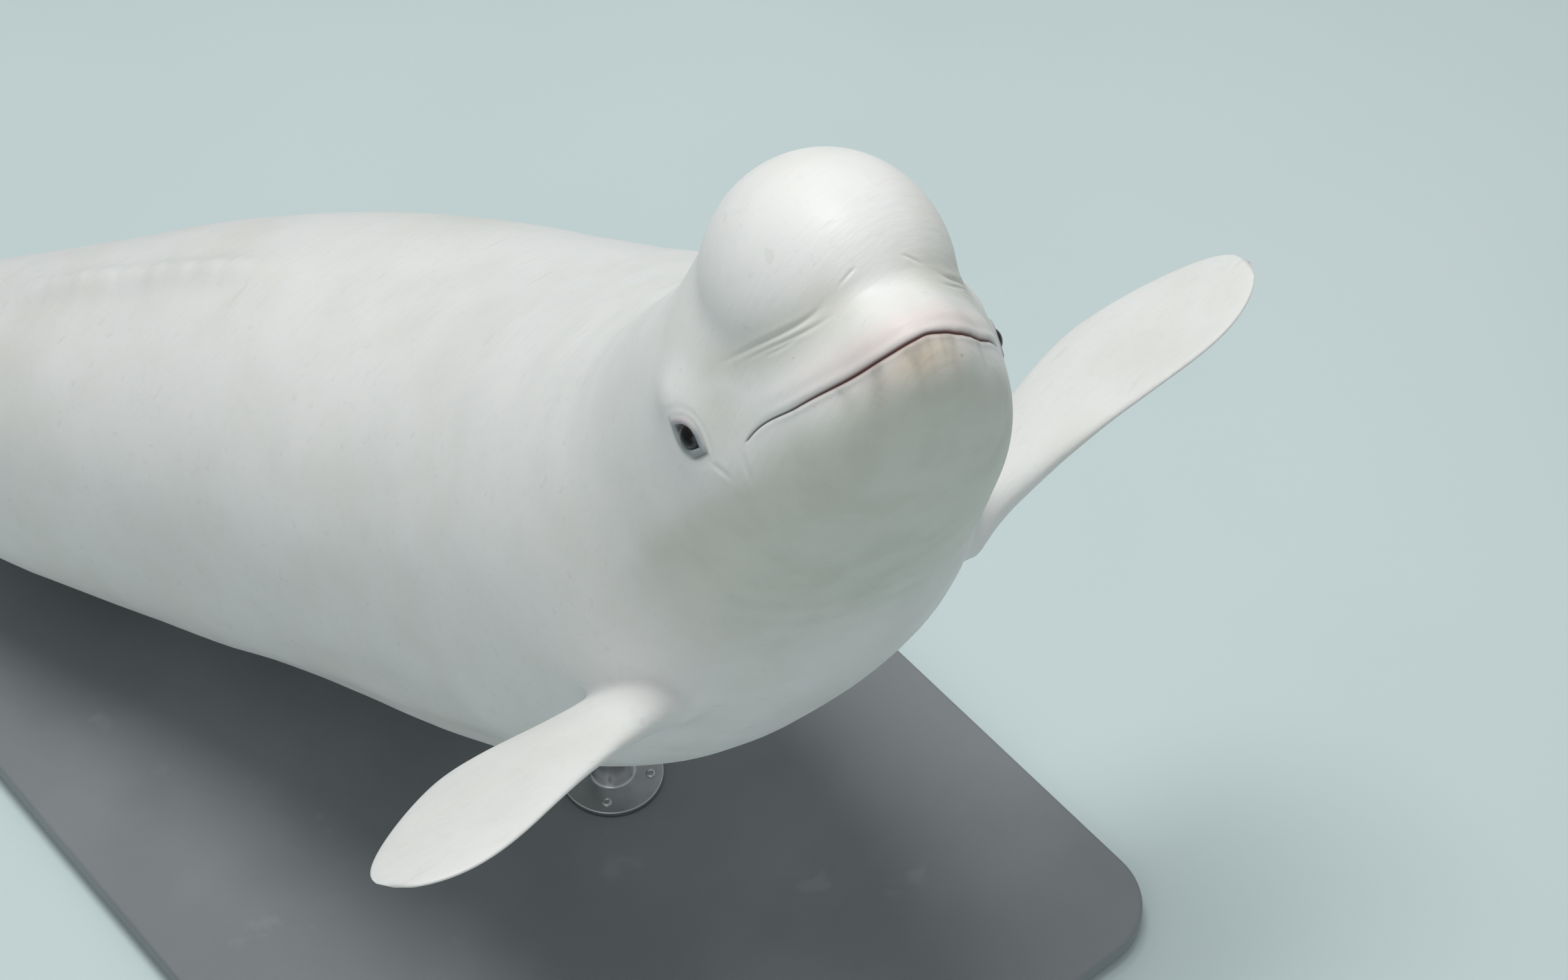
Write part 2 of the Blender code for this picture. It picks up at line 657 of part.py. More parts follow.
def make_base(finish):
    """A flat plate with round corners and a small bevel round its top edge."""
    mesh = bmesh.new()
    bmesh.ops.create_cube(mesh, size=1)
    bmesh.ops.scale(mesh, vec=BASE_SIZE, verts=mesh.verts)
    bmesh.ops.translate(mesh, vec=(0, 0, BASE_SIZE[2] / 2), verts=mesh.verts)
    corners = [e for e in mesh.edges if abs(e.verts[0].co.z - e.verts[1].co.z) > 1e-6]
    bmesh.ops.bevel(mesh, geom=corners, offset=BASE_CORNER, segments=6, affect="EDGES", profile=0.5)
    top = [e for e in mesh.edges if min(v.co.z for v in e.verts) > BASE_SIZE[2] - 1e-6]
    bmesh.ops.bevel(mesh, geom=top, offset=BASE_BEVEL, segments=2, affect="EDGES", profile=0.5)
    add("stand_base", mesh, finish=finish)


def rod_mesh(name):
    """An upright rod with a round foot, turned in one piece, that runs up into the body."""
    stations, place, _ = SPINE
    x, y, top = (float(np.interp(ROD_STATIONS[name], stations, place[:, k])) for k in range(3))
    rod, bottom = ROD_RADIUS[name], BASE_SIZE[2] + GAP
    shoulder = bottom + FOOT_THICK
    profile = (
        (0, bottom),
        (FOOT_RADIUS, bottom),
        (FOOT_RADIUS, shoulder - FOOT_BEVEL),
        (FOOT_RADIUS - FOOT_BEVEL, shoulder),
        (rod, shoulder),
        (rod, top),
        (0, top),
    )
    mesh = bmesh.new()
    verts = [mesh.verts.new((x + radius, y, z)) for radius, z in profile]
    edges = [mesh.edges.new(ends) for ends in zip(verts, verts[1:])]
    bmesh.ops.spin(
        mesh,
        geom=verts + edges,
        cent=(x, y, 0),
        axis=(0, 0, 1),
        angle=2 * math.pi,
        steps=32,
        use_merge=True,
    )
    bmesh.ops.remove_doubles(mesh, verts=mesh.verts, dist=1e-5)
    bmesh.ops.recalc_face_normals(mesh, faces=mesh.faces)
    return mesh


def main():
    clear_scene()
    skin = material("skin", (0.83, 0.83, 0.80), 0.35)
    eye = material("eye", (0.02, 0.02, 0.02), 0.08)
    painted = material("stand_paint", (0.22, 0.24, 0.25), 0.5)
    steel = material("stand_rods", (0.62, 0.63, 0.64), 0.3, 1.0)
    make_body(skin)
    for name, side in (("eye_left", 1), ("eye_right", -1)):
        eye_ball(name, side, 0.0, "beluga_whale", eye)
    body = grown_body()
    for name in FLIPPER_SPAN:
        cut_to_body(name, flipper_mesh(name), body, skin)
    make_base(painted)
    for name in ROD_STATIONS:
        cut_to_body(name, rod_mesh(name), body, steel)
    for cutter in list(bpy.data.collections["cutters"].objects):
        bpy.data.objects.remove(cutter)


main()
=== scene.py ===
"""A beluga whale as a still, life-size museum model on a plain stand, dressed round its solids.

Metres, +Z up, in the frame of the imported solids. The skin is first modelled on the straight
animal, in body coordinates (x to its left, s back from the tip of the snout, z up its back), and
is then bent to the pose and joined with its fins.
"""

import math
import random

import bmesh
import bpy
import numpy as np
from mathutils import Matrix, Vector, kdtree, noise


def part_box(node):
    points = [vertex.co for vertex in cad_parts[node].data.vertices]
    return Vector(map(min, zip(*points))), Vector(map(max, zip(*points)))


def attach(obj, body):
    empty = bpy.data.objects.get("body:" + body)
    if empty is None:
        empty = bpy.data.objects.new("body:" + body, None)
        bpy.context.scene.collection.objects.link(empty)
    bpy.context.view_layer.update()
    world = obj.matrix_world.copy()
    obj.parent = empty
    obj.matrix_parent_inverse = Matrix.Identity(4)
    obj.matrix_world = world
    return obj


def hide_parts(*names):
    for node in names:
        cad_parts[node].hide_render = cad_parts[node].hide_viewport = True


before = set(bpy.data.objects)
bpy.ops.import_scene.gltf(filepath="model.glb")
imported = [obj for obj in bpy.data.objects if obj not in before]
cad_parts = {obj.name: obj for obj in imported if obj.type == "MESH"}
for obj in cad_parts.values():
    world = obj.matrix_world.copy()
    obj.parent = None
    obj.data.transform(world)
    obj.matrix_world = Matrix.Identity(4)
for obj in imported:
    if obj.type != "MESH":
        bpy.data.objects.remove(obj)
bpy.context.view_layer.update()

# Trunk and head
# The real animal is a spindle of blubber with a round, soft melon on its brow. It is made from
# sections along the spine and an ellipsoid for the melon, blended as one smooth surface.

# Distance from the snout, half-width, top and bottom of each section
SECTIONS = np.array([
    (0.00, 0.000, -0.036, -0.036),
    (0.02, 0.052, 0.018, -0.088),
    (0.06, 0.084, 0.046, -0.118),
    (0.12, 0.126, 0.072, -0.150),
    (0.20, 0.163, 0.112, -0.183),
    (0.32, 0.209, 0.200, -0.217),
    (0.45, 0.235, 0.220, -0.240),
    (0.62, 0.272, 0.238, -0.275),
    (0.80, 0.322, 0.285, -0.325),
    (1.00, 0.355, 0.330, -0.360),
    (1.30, 0.375, 0.360, -0.390),
    (1.60, 0.370, 0.365, -0.385),
    (2.00, 0.325, 0.335, -0.345),
    (2.40, 0.250, 0.270, -0.270),
    (2.80, 0.160, 0.190, -0.180),
    (3.20, 0.085, 0.115, -0.105),
    (3.45, 0.052, 0.068, -0.060),
    (3.70, 0.026, 0.020, -0.020),
])
# Height of the widest line in a section, and how square the sections are on body and head
WIDEST = 0.46
SQUARENESS, HEAD_SQUARENESS = 2.25, 2.45
SQUARENESS_STATIONS = (0.75, 0.40)
# Thinner sections count as this thick when a distance is read
LEAST_RADIUS = 0.04
MELON_CENTRE = np.array((-0.006, 0.228, 0.104))
MELON_RADII = np.array((0.157, 0.184, 0.168))
# Width of the blend of melon and trunk, in front and behind, and the stations it changes between
MELON_BLEND, BLEND_STATIONS = (0.026, 0.075), (0.12, 0.40)

# The mesh fans out from this station over the head, and has rings square to the body behind it
FAN_STATION, TAIL_END = 0.30, 3.70
CAP_ANGLE = math.radians(38)
SIDES, FAN_RINGS, BODY_RINGS = 26, 30, 96
# How much closer together the front rings are, and the blank's radius before it meets the skin
RING_CROWDING, BLANK_RADIUS = 0.5, 0.1
# Shortest and longest way from the spine to the skin, and how often the gap is halved
SKIN_NEAR, SKIN_FAR, HALVINGS = 1e-4, 0.60, 24


def smooth(start, end, value):
    t = np.clip((value - start) / (end - start), 0.0, 1.0)
    return t * t * (3.0 - 2.0 * t)


def bump(distance, width):
    return np.exp(-((distance / width) ** 2))


def through(places, values, at):
    """A smooth curve through a profile's points, read against the square root of the distance
    so that the snout is round."""
    u, t = np.sqrt(places), np.sqrt(np.clip(at, 0.0, places[-1]))
    slope = np.gradient(values, u)
    i = np.clip(np.searchsorted(u, t, "right") - 1, 0, len(u) - 2)
    step = u[i + 1] - u[i]
    f = (t - u[i]) / step
    return (
        (1 + 2 * f) * (1 - f) ** 2 * values[i]
        + f * (1 - f) ** 2 * step * slope[i]
        + f * f * (3 - 2 * f) * values[i + 1]
        + f * f * (f - 1) * step * slope[i + 1]
    )


def section(s):
    """Half-width, top, bottom and widest height of the body at station s."""
    half, top, bottom = (through(SECTIONS[:, 0], SECTIONS[:, k], s) for k in (1, 2, 3))
    return half, top, bottom, bottom + WIDEST * (top - bottom)


def body_field(p):
    """Below zero inside the straight body, zero on its skin: its sections and the melon."""
    x, s, z = p[:, 0], p[:, 1], p[:, 2]
    half, top, bottom, widest = section(s)
    rise = np.maximum(np.where(z > widest, top - widest, widest - bottom), 1e-6)
    n = SQUARENESS + (HEAD_SQUARENESS - SQUARENESS) * smooth(*SQUARENESS_STATIONS, s)
    across = np.abs(x) / np.maximum(half, 1e-6)
    reach = (across**n + (np.abs(z - widest) / rise) ** n) ** (1 / n)
    trunk = (reach - 1) * np.maximum(np.minimum(half, rise), LEAST_RADIUS)
    trunk = np.where(s < 0, np.maximum(trunk, -s), trunk)
    melon = np.linalg.norm((p - MELON_CENTRE) / MELON_RADII, axis=1) - 1
    melon = melon * MELON_RADII.min()
    blend = MELON_BLEND[0] + (MELON_BLEND[1] - MELON_BLEND[0]) * smooth(*BLEND_STATIONS, s)
    mix = np.clip(0.5 + 0.5 * (trunk - melon) / blend, 0, 1)
    return trunk * (1 - mix) + melon * mix - blend * mix * (1 - mix)


def to_skin(p):
    """Each point, carried along its ray to the body's skin."""
    s = np.maximum(p[:, 1], FAN_STATION)
    start = np.stack([0 * s, s, section(s)[3]], 1)
    way = p - start
    way /= np.linalg.norm(way, axis=1)[:, None]
    inner, outer = np.full(len(p), SKIN_NEAR), np.full(len(p), SKIN_FAR)
    for _ in range(HALVINGS):
        middle = (inner + outer) / 2
        inside = body_field(start + way * middle[:, None]) < 0
        inner, outer = np.where(inside, middle, inner), np.where(inside, outer, middle)
    return start + way * inner[:, None]


def outward(p):
    """Unit normals of the plain body at points near its skin."""
    step = 1e-3 * np.eye(3)
    n = np.stack([body_field(p + d) - body_field(p - d) for d in step], 1)
    return n / np.linalg.norm(n, axis=1)[:, None]


def coordinates(mesh):
    return np.array([v.co for v in mesh.verts])


def place_all(mesh, points):
    for vert, point in zip(mesh.verts, points):
        vert.co = point


def square_to_disc(a, b):
    """Radius and angle of a square's point when the square is spread into a disc."""
    flat = np.abs(a) > np.abs(b)
    radius = np.where(flat, a, b)
    ratio = np.divide(np.where(flat, b, a), radius, out=np.zeros_like(a), where=radius != 0)
    turn = np.where(flat, ratio * math.pi / 4, math.pi / 2 - ratio * math.pi / 4)
    return np.abs(radius), turn + np.where(radius < 0, math.pi, 0)


def body_blank():
    """A box with its sides cut into rings, carried to the fan and the stations of the body."""
    mesh = bmesh.new()
    bmesh.ops.create_cube(mesh, size=2)
    for axis, cuts in ((1, FAN_RINGS + BODY_RINGS - 1), (0, SIDES - 1), (2, SIDES - 1)):
        edges = [e for e in mesh.edges if abs((e.verts[0].co - e.verts[1].co)[axis]) > 1e-6]
        bmesh.ops.subdivide_edges(mesh, edges=edges, cuts=cuts, use_grid_fill=True)
    at = coordinates(mesh)
    radius, turn = square_to_disc(at[:, 0], at[:, 2])
    ring = (at[:, 1] + 1) / 2 * (FAN_RINGS + BODY_RINGS)
    rear = ring > FAN_RINGS + BODY_RINGS - 0.5
    fan = np.clip(ring / FAN_RINGS, 0, 1)
    spread = np.where(ring > 0, CAP_ANGLE + (math.pi / 2 - CAP_ANGLE) * fan, CAP_ANGLE * radius)
    along = np.clip((ring - FAN_RINGS) / BODY_RINGS, 0, 1)
    along = along * (1 - RING_CROWDING + RING_CROWDING * along)
    s = FAN_STATION + (TAIL_END - FAN_STATION) * along
    side, ahead = BLANK_RADIUS * np.sin(spread), BLANK_RADIUS * np.cos(spread)
    centre = section(np.maximum(s, FAN_STATION))[3]
    points = to_skin(np.stack([side * np.cos(turn), s - ahead, centre + side * np.sin(turn)], 1))
    middle = np.stack([0 * s, s, centre], 1)
    inwards = np.where(rear, radius, 1.0)[:, None]
    place_all(mesh, middle + (points - middle) * inwards)
    return mesh


# Mouth
# A long, thin lip line runs from the tip of the snout back to below the eye, with two soft rolls
# of skin above it and one below. It is a fold in the skin, red-brown in front and grey behind.

MOUTH_LINE = np.array([
    (0.00, -0.030),
    (0.06, -0.044),
    (0.13, -0.045),
    (0.218, -0.0470),
    (0.238, -0.0540),
])
MOUTH_CORNER = 0.232
# Height, width, and place above the mouth line
LIP_ROLLS = ((0.0024, 0.0065, 0.0070), (0.0030, 0.0160, 0.0220), (0.0012, 0.0040, -0.0050))
LIP_GROOVE = (0.0034, 0.0011)
LIP_SHOULDER = (0.0010, 0.0032)
LIP_FADE, GROOVE_FADE = 0.120, 0.010
# Small kinks that keep the line from looking drawn: height and wavelength
LIP_KINKS = ((0.0006, 0.083), (0.0002, 0.029))


def mouth_height(s):
    return through(MOUTH_LINE[:, 0], MOUTH_LINE[:, 1], s)


def mouth_distance(p):
    """Height above the mouth line, and how far each point lies behind the mouth's corner."""
    above = p[:, 2] - mouth_height(p[:, 1])
    for rise, wave in LIP_KINKS:
        above = above - rise * np.sin(2 * math.pi * (p[:, 0] + 0.7 * p[:, 1]) / wave)
    return above, p[:, 1] - MOUTH_CORNER


def mouth_relief(p):
    above, behind = mouth_distance(p)
    height = 0.0
    for rise, width, place in LIP_ROLLS:
        height = height + rise * bump(above - place, width) * smooth(0.0, -LIP_FADE, behind)
    for depth, width in (LIP_GROOVE, LIP_SHOULDER):
        height -= depth * bump(above, width) * smooth(0.0, -GROOVE_FADE, behind)
    return height


# Eyelids and brows
# Each small eye sits on a soft mound below a low brow. Its lids are an almond that slants
# forward and down, with a thick rolled edge and two furrows round it.

EYE = np.array((0.218, 0.318, -0.008))
LID_SLANT = math.radians(52)
# Height and width of the mound and of the brow
EYE_MOUND = (0.0070, 0.055)
BROW = np.array((0.215, 0.338, 0.050))
BROW_SIZE = (0.009, 0.036)
# Half the opening's length, and its height above and below the line through its corners
OPENING_HALF, OPENING_HIGH, OPENING_LOW = 0.0250, 0.0120, 0.0150
# How deep the opening is cut, from its edge inwards, and the share of it left in the corners
OPENING_DEPTH, OPENING_EDGE = 0.0150, (0.0012, -0.0030)
CORNER_SHARE, CORNER_REACH = 0.35, (0.0235, 0.0150)
# Height or depth, width and distance from the opening
LID_ROLL = (0.0019, 0.0046, 0.0046)
LID_FURROWS = ((0.0013, 0.0028, 0.0112), (0.0010, 0.0038, 0.0190))
# The share of roll and furrows on the lower lid, and what the upper lid adds
ROLL_SHARES, FURROW_SHARES = (0.7, 0.6), (0.55, 0.45)
UPPER_ALONG, UPPER_ACROSS = (0.014, -0.010), (-0.010, 0.010)
LID_TURN, LID_LENGTHEN = 0.004, 0.72
# Points beyond this reach are clear of the lids by at least this much
LID_REACH, LID_CLEAR = 3 * OPENING_HALF, 0.06


def eye_place(side):
    """Eye's place on the plain skin, its outward normal, the way its lids run, and the way
    across them to the upper lid."""
    at = to_skin(np.array([EYE * (side, 1, 1)]))
    normal = outward(at)[0]
    along = np.array((0.0, -math.cos(LID_SLANT), -math.sin(LID_SLANT)))
    along -= normal * along.dot(normal)
    along /= np.linalg.norm(along)
    return at[0], normal, along, np.cross(along, normal) * side


EYE_PLACES = {side: eye_place(side) for side in (1, -1)}


def lid_distance(p, side):
    """Distance out of the opening between the lids, negative inside it, and the places along
    and across it."""
    at, _, along, across = EYE_PLACES[side]
    off = p - at
    u, v = off @ along, off @ across
    wide = OPENING_LOW + (OPENING_HIGH - OPENING_LOW) * smooth(-LID_TURN, LID_TURN, v)
    arc = wide * (1 - (u / OPENING_HALF) ** 2)
    slope = 2 * wide * np.clip(u, -2 * OPENING_HALF, 2 * OPENING_HALF) / OPENING_HALF**2
    away = (np.abs(v) - arc) / np.sqrt(1 + LID_LENGTHEN * slope**2)
    far = np.linalg.norm(off, axis=1) - LID_REACH
    return np.where(far > 0, far + LID_CLEAR, away), u, v


def eye_relief(p, side):
    away, u, v = lid_distance(p, side)
    upper = smooth(*UPPER_ALONG, u) * smooth(*UPPER_ACROSS, v)
    mound = EYE_MOUND[0] * bump(np.linalg.norm(p - EYE_PLACES[side][0], axis=1), EYE_MOUND[1])
    brow = BROW_SIZE[0] * bump(np.linalg.norm(p - BROW * (side, 1, 1), axis=1), BROW_SIZE[1])
    roll = LID_ROLL[0] * bump(away - LID_ROLL[2], LID_ROLL[1])
    height = mound + brow + roll * (ROLL_SHARES[0] + ROLL_SHARES[1] * upper)
    for depth, width, place in LID_FURROWS:
        height -= depth * bump(away - place, width) * (FURROW_SHARES[0] + FURROW_SHARES[1] * upper)
    corner = CORNER_SHARE + (1 - CORNER_SHARE) * smooth(*CORNER_REACH, np.abs(u))
    return height - OPENING_DEPTH * corner * smooth(*OPENING_EDGE, away)


# Blowhole
# A single crescent slit on the crown behind the melon, open to the front, with a raised soft rim.

BLOWHOLE_STATION = 0.385
BLOWHOLE_RADIUS = 0.038
BLOWHOLE_REACH = math.radians(68)
BLOWHOLE_SLIT = (0.011, 0.0034)
BLOWHOLE_RIM = (0.0030, 0.0085, 0.012)


def blowhole_distance(p):
    """Distance over the crown to the blowhole's crescent."""
    x, s = p[:, 0], p[:, 1] - (BLOWHOLE_STATION - BLOWHOLE_RADIUS)
    turn = np.clip(np.arctan2(x, s), -BLOWHOLE_REACH, BLOWHOLE_REACH)
    away = np.hypot(x - BLOWHOLE_RADIUS * np.sin(turn), s - BLOWHOLE_RADIUS * np.cos(turn))
    return np.where(p[:, 2] > 0, away, 1.0)


def blowhole_relief(p):
    away = blowhole_distance(p)
    rim = BLOWHOLE_RIM[0] * bump(away - BLOWHOLE_RIM[2], BLOWHOLE_RIM[1])
    return rim - BLOWHOLE_SLIT[0] * bump(away, BLOWHOLE_SLIT[1])


# Creases and folds
# The skin folds where the melon meets the face, behind the mouth, round the throat and the nape,
# and along the flanks, where the blubber lies in shallow rolls.

# Each face crease: its points on one side, its depth and its width
CREASES = (
    (((0.029, 0.046, 0.080), (0.037, 0.050, 0.076), (0.048, 0.056, 0.069), (0.059, 0.063, 0.062)),
     0.0012, 0.0020),
    (((0.070, 0.072, 0.054), (0.093, 0.092, 0.044), (0.118, 0.127, 0.041), (0.145, 0.181, 0.044),
      (0.171, 0.243, 0.050)), 0.0022, 0.0032),
    (((0.062, 0.060, 0.040), (0.088, 0.085, 0.033), (0.112, 0.120, 0.031), (0.134, 0.162, 0.033),
      (0.158, 0.212, 0.037)), 0.0011, 0.0026),
    (((0.101, 0.112, 0.026), (0.118, 0.140, 0.024), (0.135, 0.172, 0.026)), 0.0007, 0.0024),
    (((0.206, 0.300, -0.050), (0.204, 0.286, -0.068), (0.198, 0.276, -0.088)), 0.0010, 0.0040),
    (((0.180, 0.236, -0.060), (0.184, 0.245, -0.080), (0.186, 0.252, -0.105)), 0.0008, 0.0050),
)
CREASE_ROLL = 0.35
# Folds round the body: station, depth, half-width, and the height and reach of each on the body
RING_FOLDS = (
    (0.500, 0.0030, 0.018, -0.24, 0.11),
    (0.565, 0.0050, 0.024, -0.25, 0.13),
    (0.640, 0.0040, 0.026, -0.27, 0.13),
    (0.585, 0.0030, 0.022, 0.24, 0.13),
    (0.660, 0.0050, 0.028, 0.26, 0.15),
    (0.750, 0.0040, 0.030, 0.28, 0.15),
)
FOLD_BOW = 0.10
# Rolls along the flanks: first and last station, height at each, depth and half-width
FLANK_FOLDS = (
    (1.02, 2.05, -0.235, -0.190, 0.0070, 0.030),
    (1.15, 1.95, -0.130, -0.105, 0.0045, 0.028),
    (1.30, 2.25, -0.320, -0.250, 0.0060, 0.026),
)
FLANK_START, FLANK_END = (0.0, 0.3), (1.0, 0.6)
# Height and rate of the flank rolls' waves
FLANK_WAVE = (0.012, 9)
# Slow swells: height and rate, and their share on the head and on the body
SWELL = ((0.0032, 5.0), (0.0014, 11.0))
SWELL_HEAD, SWELL_BODY, SWELL_STATIONS = 0.30, 0.70, (0.40, 0.90)


def stroke(points, side):
    """A smooth line on the plain skin through a few points of one side."""
    points = np.array(points) * (side, 1, 1)
    ends = np.concatenate([points[:1], points, points[-1:]])
    at = np.linspace(0, len(points) - 1, 25)
    i = np.minimum(at.astype(int), len(points) - 2)
    f = (at - i)[:, None]
    a, b, c, d = (ends[i + k] for k in range(4))
    line = b + 0.5 * f * (c - a + f * (2 * a - 5 * b + 4 * c - d + f * (3 * (b - c) + d - a)))
    return to_skin(line)


STROKES = [
    (stroke(points, side), depth, width) for points, depth, width in CREASES for side in (1, -1)
]


def along_stroke(p, line):
    """Each point's distance to a line, and its share of the way along."""
    away, share = np.full(len(p), 1.0), np.zeros(len(p))
    near = np.linalg.norm(p - line.mean(0), axis=1) < 0.20
    run = line[1:] - line[:-1]
    off = p[near][:, None] - line[:-1]
    f = np.clip((off * run).sum(2) / (run * run).sum(1), 0, 1)
    gap = np.linalg.norm(off - f[..., None] * run, axis=2)
    best = np.argmin(gap, axis=1)
    rows = np.arange(len(best))
    away[near] = gap[rows, best]
    share[near] = (best + f[rows, best]) / len(run)
    return away, share


def crease_relief(p):
    height = np.zeros(len(p))
    for line, depth, width in STROKES:
        away, share = along_stroke(p, line)
        fade = smooth(0.0, 0.40, share) * smooth(1.0, 0.55, share)
        height -= depth * fade * bump(away, width)
        height += CREASE_ROLL * depth * fade * bump(away - 2.2 * width, 1.3 * width)
    return height


def fold_relief(p):
    x, s, z = p[:, 0], p[:, 1], p[:, 2]
    height = np.zeros(len(p))
    for station, depth, width, middle, reach in RING_FOLDS:
        height -= depth * bump(z - middle, reach) * bump(s - station - FOLD_BOW * x**2, width)
    for first, last, start, end, depth, width in FLANK_FOLDS:
        share = np.clip((s - first) / (last - first), 0, 1)
        line = start + (end - start) * share + FLANK_WAVE[0] * np.sin(FLANK_WAVE[1] * s)
        fade = smooth(*FLANK_START, share) * smooth(*FLANK_END, share)
        height -= depth * fade * bump(z - line, width)
    return height


def swell_relief(p):
    """The slow unevenness of blubber, less on the taut head."""
    soft = SWELL_HEAD + SWELL_BODY * smooth(*SWELL_STATIONS, p[:, 1])
    height = np.zeros(len(p))
    for rise, rate in SWELL:
        height += rise * np.array([noise.noise(Vector(q) * rate) for q in p])
    return height * soft


# Dorsal ridge
# A beluga has no back fin, only a low tough ridge with small knobs along it.

RIDGE_RISE, RIDGE_FALL = (1.72, 1.92), (2.48, 2.18)
RIDGE_HEIGHT, RIDGE_HALF = 0.024, 0.030
KNOB_PITCH, KNOB_SHARE = 0.055, 0.14


def ridge_relief(p):
    s = p[:, 1]
    along = smooth(*RIDGE_RISE, s) * smooth(*RIDGE_FALL, s)
    knobs = 1 - KNOB_SHARE + KNOB_SHARE * np.cos(s * 2 * math.pi / KNOB_PITCH)
    return np.where(p[:, 2] > 0, RIDGE_HEIGHT * along * knobs * bump(p[:, 0], RIDGE_HALF), 0)


# Body mesh
# The blank is cut finer over the head, and finer still along the mouth, lids, blowhole and
# creases, is carried to the plain skin again each time, and then takes all its relief at once.

HEAD_DETAIL = 0.56
RIDGE_DETAIL = 0.06
DETAIL_REACHES = (0.024, 0.0100, 0.0042)


def detail_distance(p):
    """Distance to the nearest fine feature of the skin."""
    above, behind = mouth_distance(p)
    away = np.where(behind < 0.006, np.abs(above), 1.0)
    away = np.minimum(away, 0.8 * blowhole_distance(p))
    for side in (1, -1):
        away = np.minimum(away, np.abs(lid_distance(p, side)[0] - 0.001))
    for line, _, _ in STROKES:
        away = np.minimum(away, 1.5 * along_stroke(p, line)[0])
    return away


def refine(mesh, wanted):
    """Cut in four the faces whose centres are wanted."""
    faces = list(mesh.faces)
    chosen = wanted(np.array([f.calc_center_median() for f in faces]))
    edges = {e for f, take in zip(faces, chosen) if take for e in f.edges}
    bmesh.ops.subdivide_edges(mesh, edges=list(edges), cuts=1, use_grid_fill=True)
    p = coordinates(mesh)
    head = p[:, 1] < HEAD_DETAIL + 0.1
    p[head] = to_skin(p[head])
    place_all(mesh, p)


def body_mesh():
    mesh = body_blank()
    refine(mesh, lambda p: p[:, 1] < HEAD_DETAIL)
    refine(
        mesh,
        lambda p: (np.abs(p[:, 0]) < RIDGE_DETAIL) & (p[:, 2] > 0) & (np.abs(p[:, 1] - 2.1) < 0.42),
    )
    for reach in DETAIL_REACHES:
        refine(mesh, lambda p: detail_distance(p) < reach)
    return mesh


# Pose
# The chest is upright, with the head turned to its right and the tail swung the other way. The
# spine is summed from its bends, and every point of the straight animal is carried onto it.

CHEST_PITCH, MID_PITCH, TAIL_PITCH = 60.0, 20.0, 8.0
BACK_BEND = (0.60, 1.70)
TAIL_BEND = (1.50, 3.40)
TAIL_YAW = 30.0
SIDE_BEND = (0.90, 2.20)
HEAD_YAW, HEAD_ROLL = -9.0, 6.0
NECK_BEND = (0.42, 0.95)
CHEST_STATION = 0.90
CHEST_PLACE = np.array((0.13, -0.50, 1.03))
SPINE_START, SPINE_END, SPINE_STEP = -0.10, 3.95, 0.01


def spine_table():
    """Stations every centimetre, the spine's place at each, and the body's axes there."""
    s = np.arange(SPINE_START, SPINE_END, SPINE_STEP)
    neck = 1 - smooth(*NECK_BEND, s)
    pitch = CHEST_PITCH + (MID_PITCH - CHEST_PITCH) * smooth(*BACK_BEND, s)
    pitch = np.radians(pitch + (TAIL_PITCH - MID_PITCH) * smooth(*TAIL_BEND, s))
    yaw = np.radians(HEAD_YAW * neck + TAIL_YAW * smooth(*SIDE_BEND, s))
    roll = np.radians(HEAD_ROLL * neck)
    zero, one = 0 * s, 0 * s + 1
    ahead = np.stack([zero, -np.cos(pitch), np.sin(pitch)], 1)
    up = np.stack([zero, np.sin(pitch), np.cos(pitch)], 1)
    left = np.stack([one, zero, zero], 1)
    cos, sin = np.cos(roll)[:, None], np.sin(roll)[:, None]
    left, up = left * cos - up * sin, up * cos + left * sin
    cos, sin = np.cos(yaw), np.sin(yaw)
    axes = []
    for v in (left, ahead, up):
        turned = (v[:, 0] * cos - v[:, 1] * sin, v[:, 0] * sin + v[:, 1] * cos, v[:, 2])
        axes.append(np.stack(turned, 1))
    back = -(axes[1][1:] + axes[1][:-1]) / 2 * SPINE_STEP
    place = np.concatenate([np.zeros((1, 3)), np.cumsum(back, 0)])
    place += CHEST_PLACE - place[np.argmin(np.abs(s - CHEST_STATION))]
    return s, place, axes


SPINE = spine_table()


def to_pose(p):
    """Points of the straight animal, in body coordinates, carried into the room."""
    stations, place, (left, _, up) = SPINE

    def read(values):
        return np.stack([np.interp(p[:, 1], stations, values[:, k]) for k in range(3)], 1)

    return read(place) + p[:, :1] * read(left) + p[:, 2:] * read(up)


# Flukes
# Two broad, level tail blades with curved rear edges and a notch between them, thick and round in
# front and thin behind. Both are one blade, turned from a ball along its span.

FLUKE_HALF_SPAN = 0.46
FLUKE_ROOT, FLUKE_NOTCH, FLUKE_TIP = 3.42, 3.745, 3.735
FLUKE_LOBE = 0.10
FLUKE_THICK, FLUKE_EDGE = 0.054, 0.006
FLUKE_RISE = 0.02


def blade(stations, turns):
    """A closed blank for a fin: pole to pole is its span, and round it its section.

    It gives the mesh, the span position from 0 to 1, the chord position from 0 at the front
    edge to 1 at the rear edge, and the side of the blade, from -1 to 1.
    """
    mesh = bmesh.new()
    bmesh.ops.create_uvsphere(mesh, u_segments=turns, v_segments=stations, radius=1)
    at = coordinates(mesh)
    turn = np.arctan2(at[:, 1], at[:, 0])
    span = np.arccos(np.clip(at[:, 2], -1, 1)) / math.pi
    return mesh, span, (1 - np.cos(turn)) / 2, np.sin(turn)


def mark(mesh, name, values):
    """Keeps a value for each point of the skin, for its colours."""
    layer = mesh.verts.layers.float.get(name) or mesh.verts.layers.float.new(name)
    for vert, value in zip(mesh.verts, values):
        vert[layer] = value


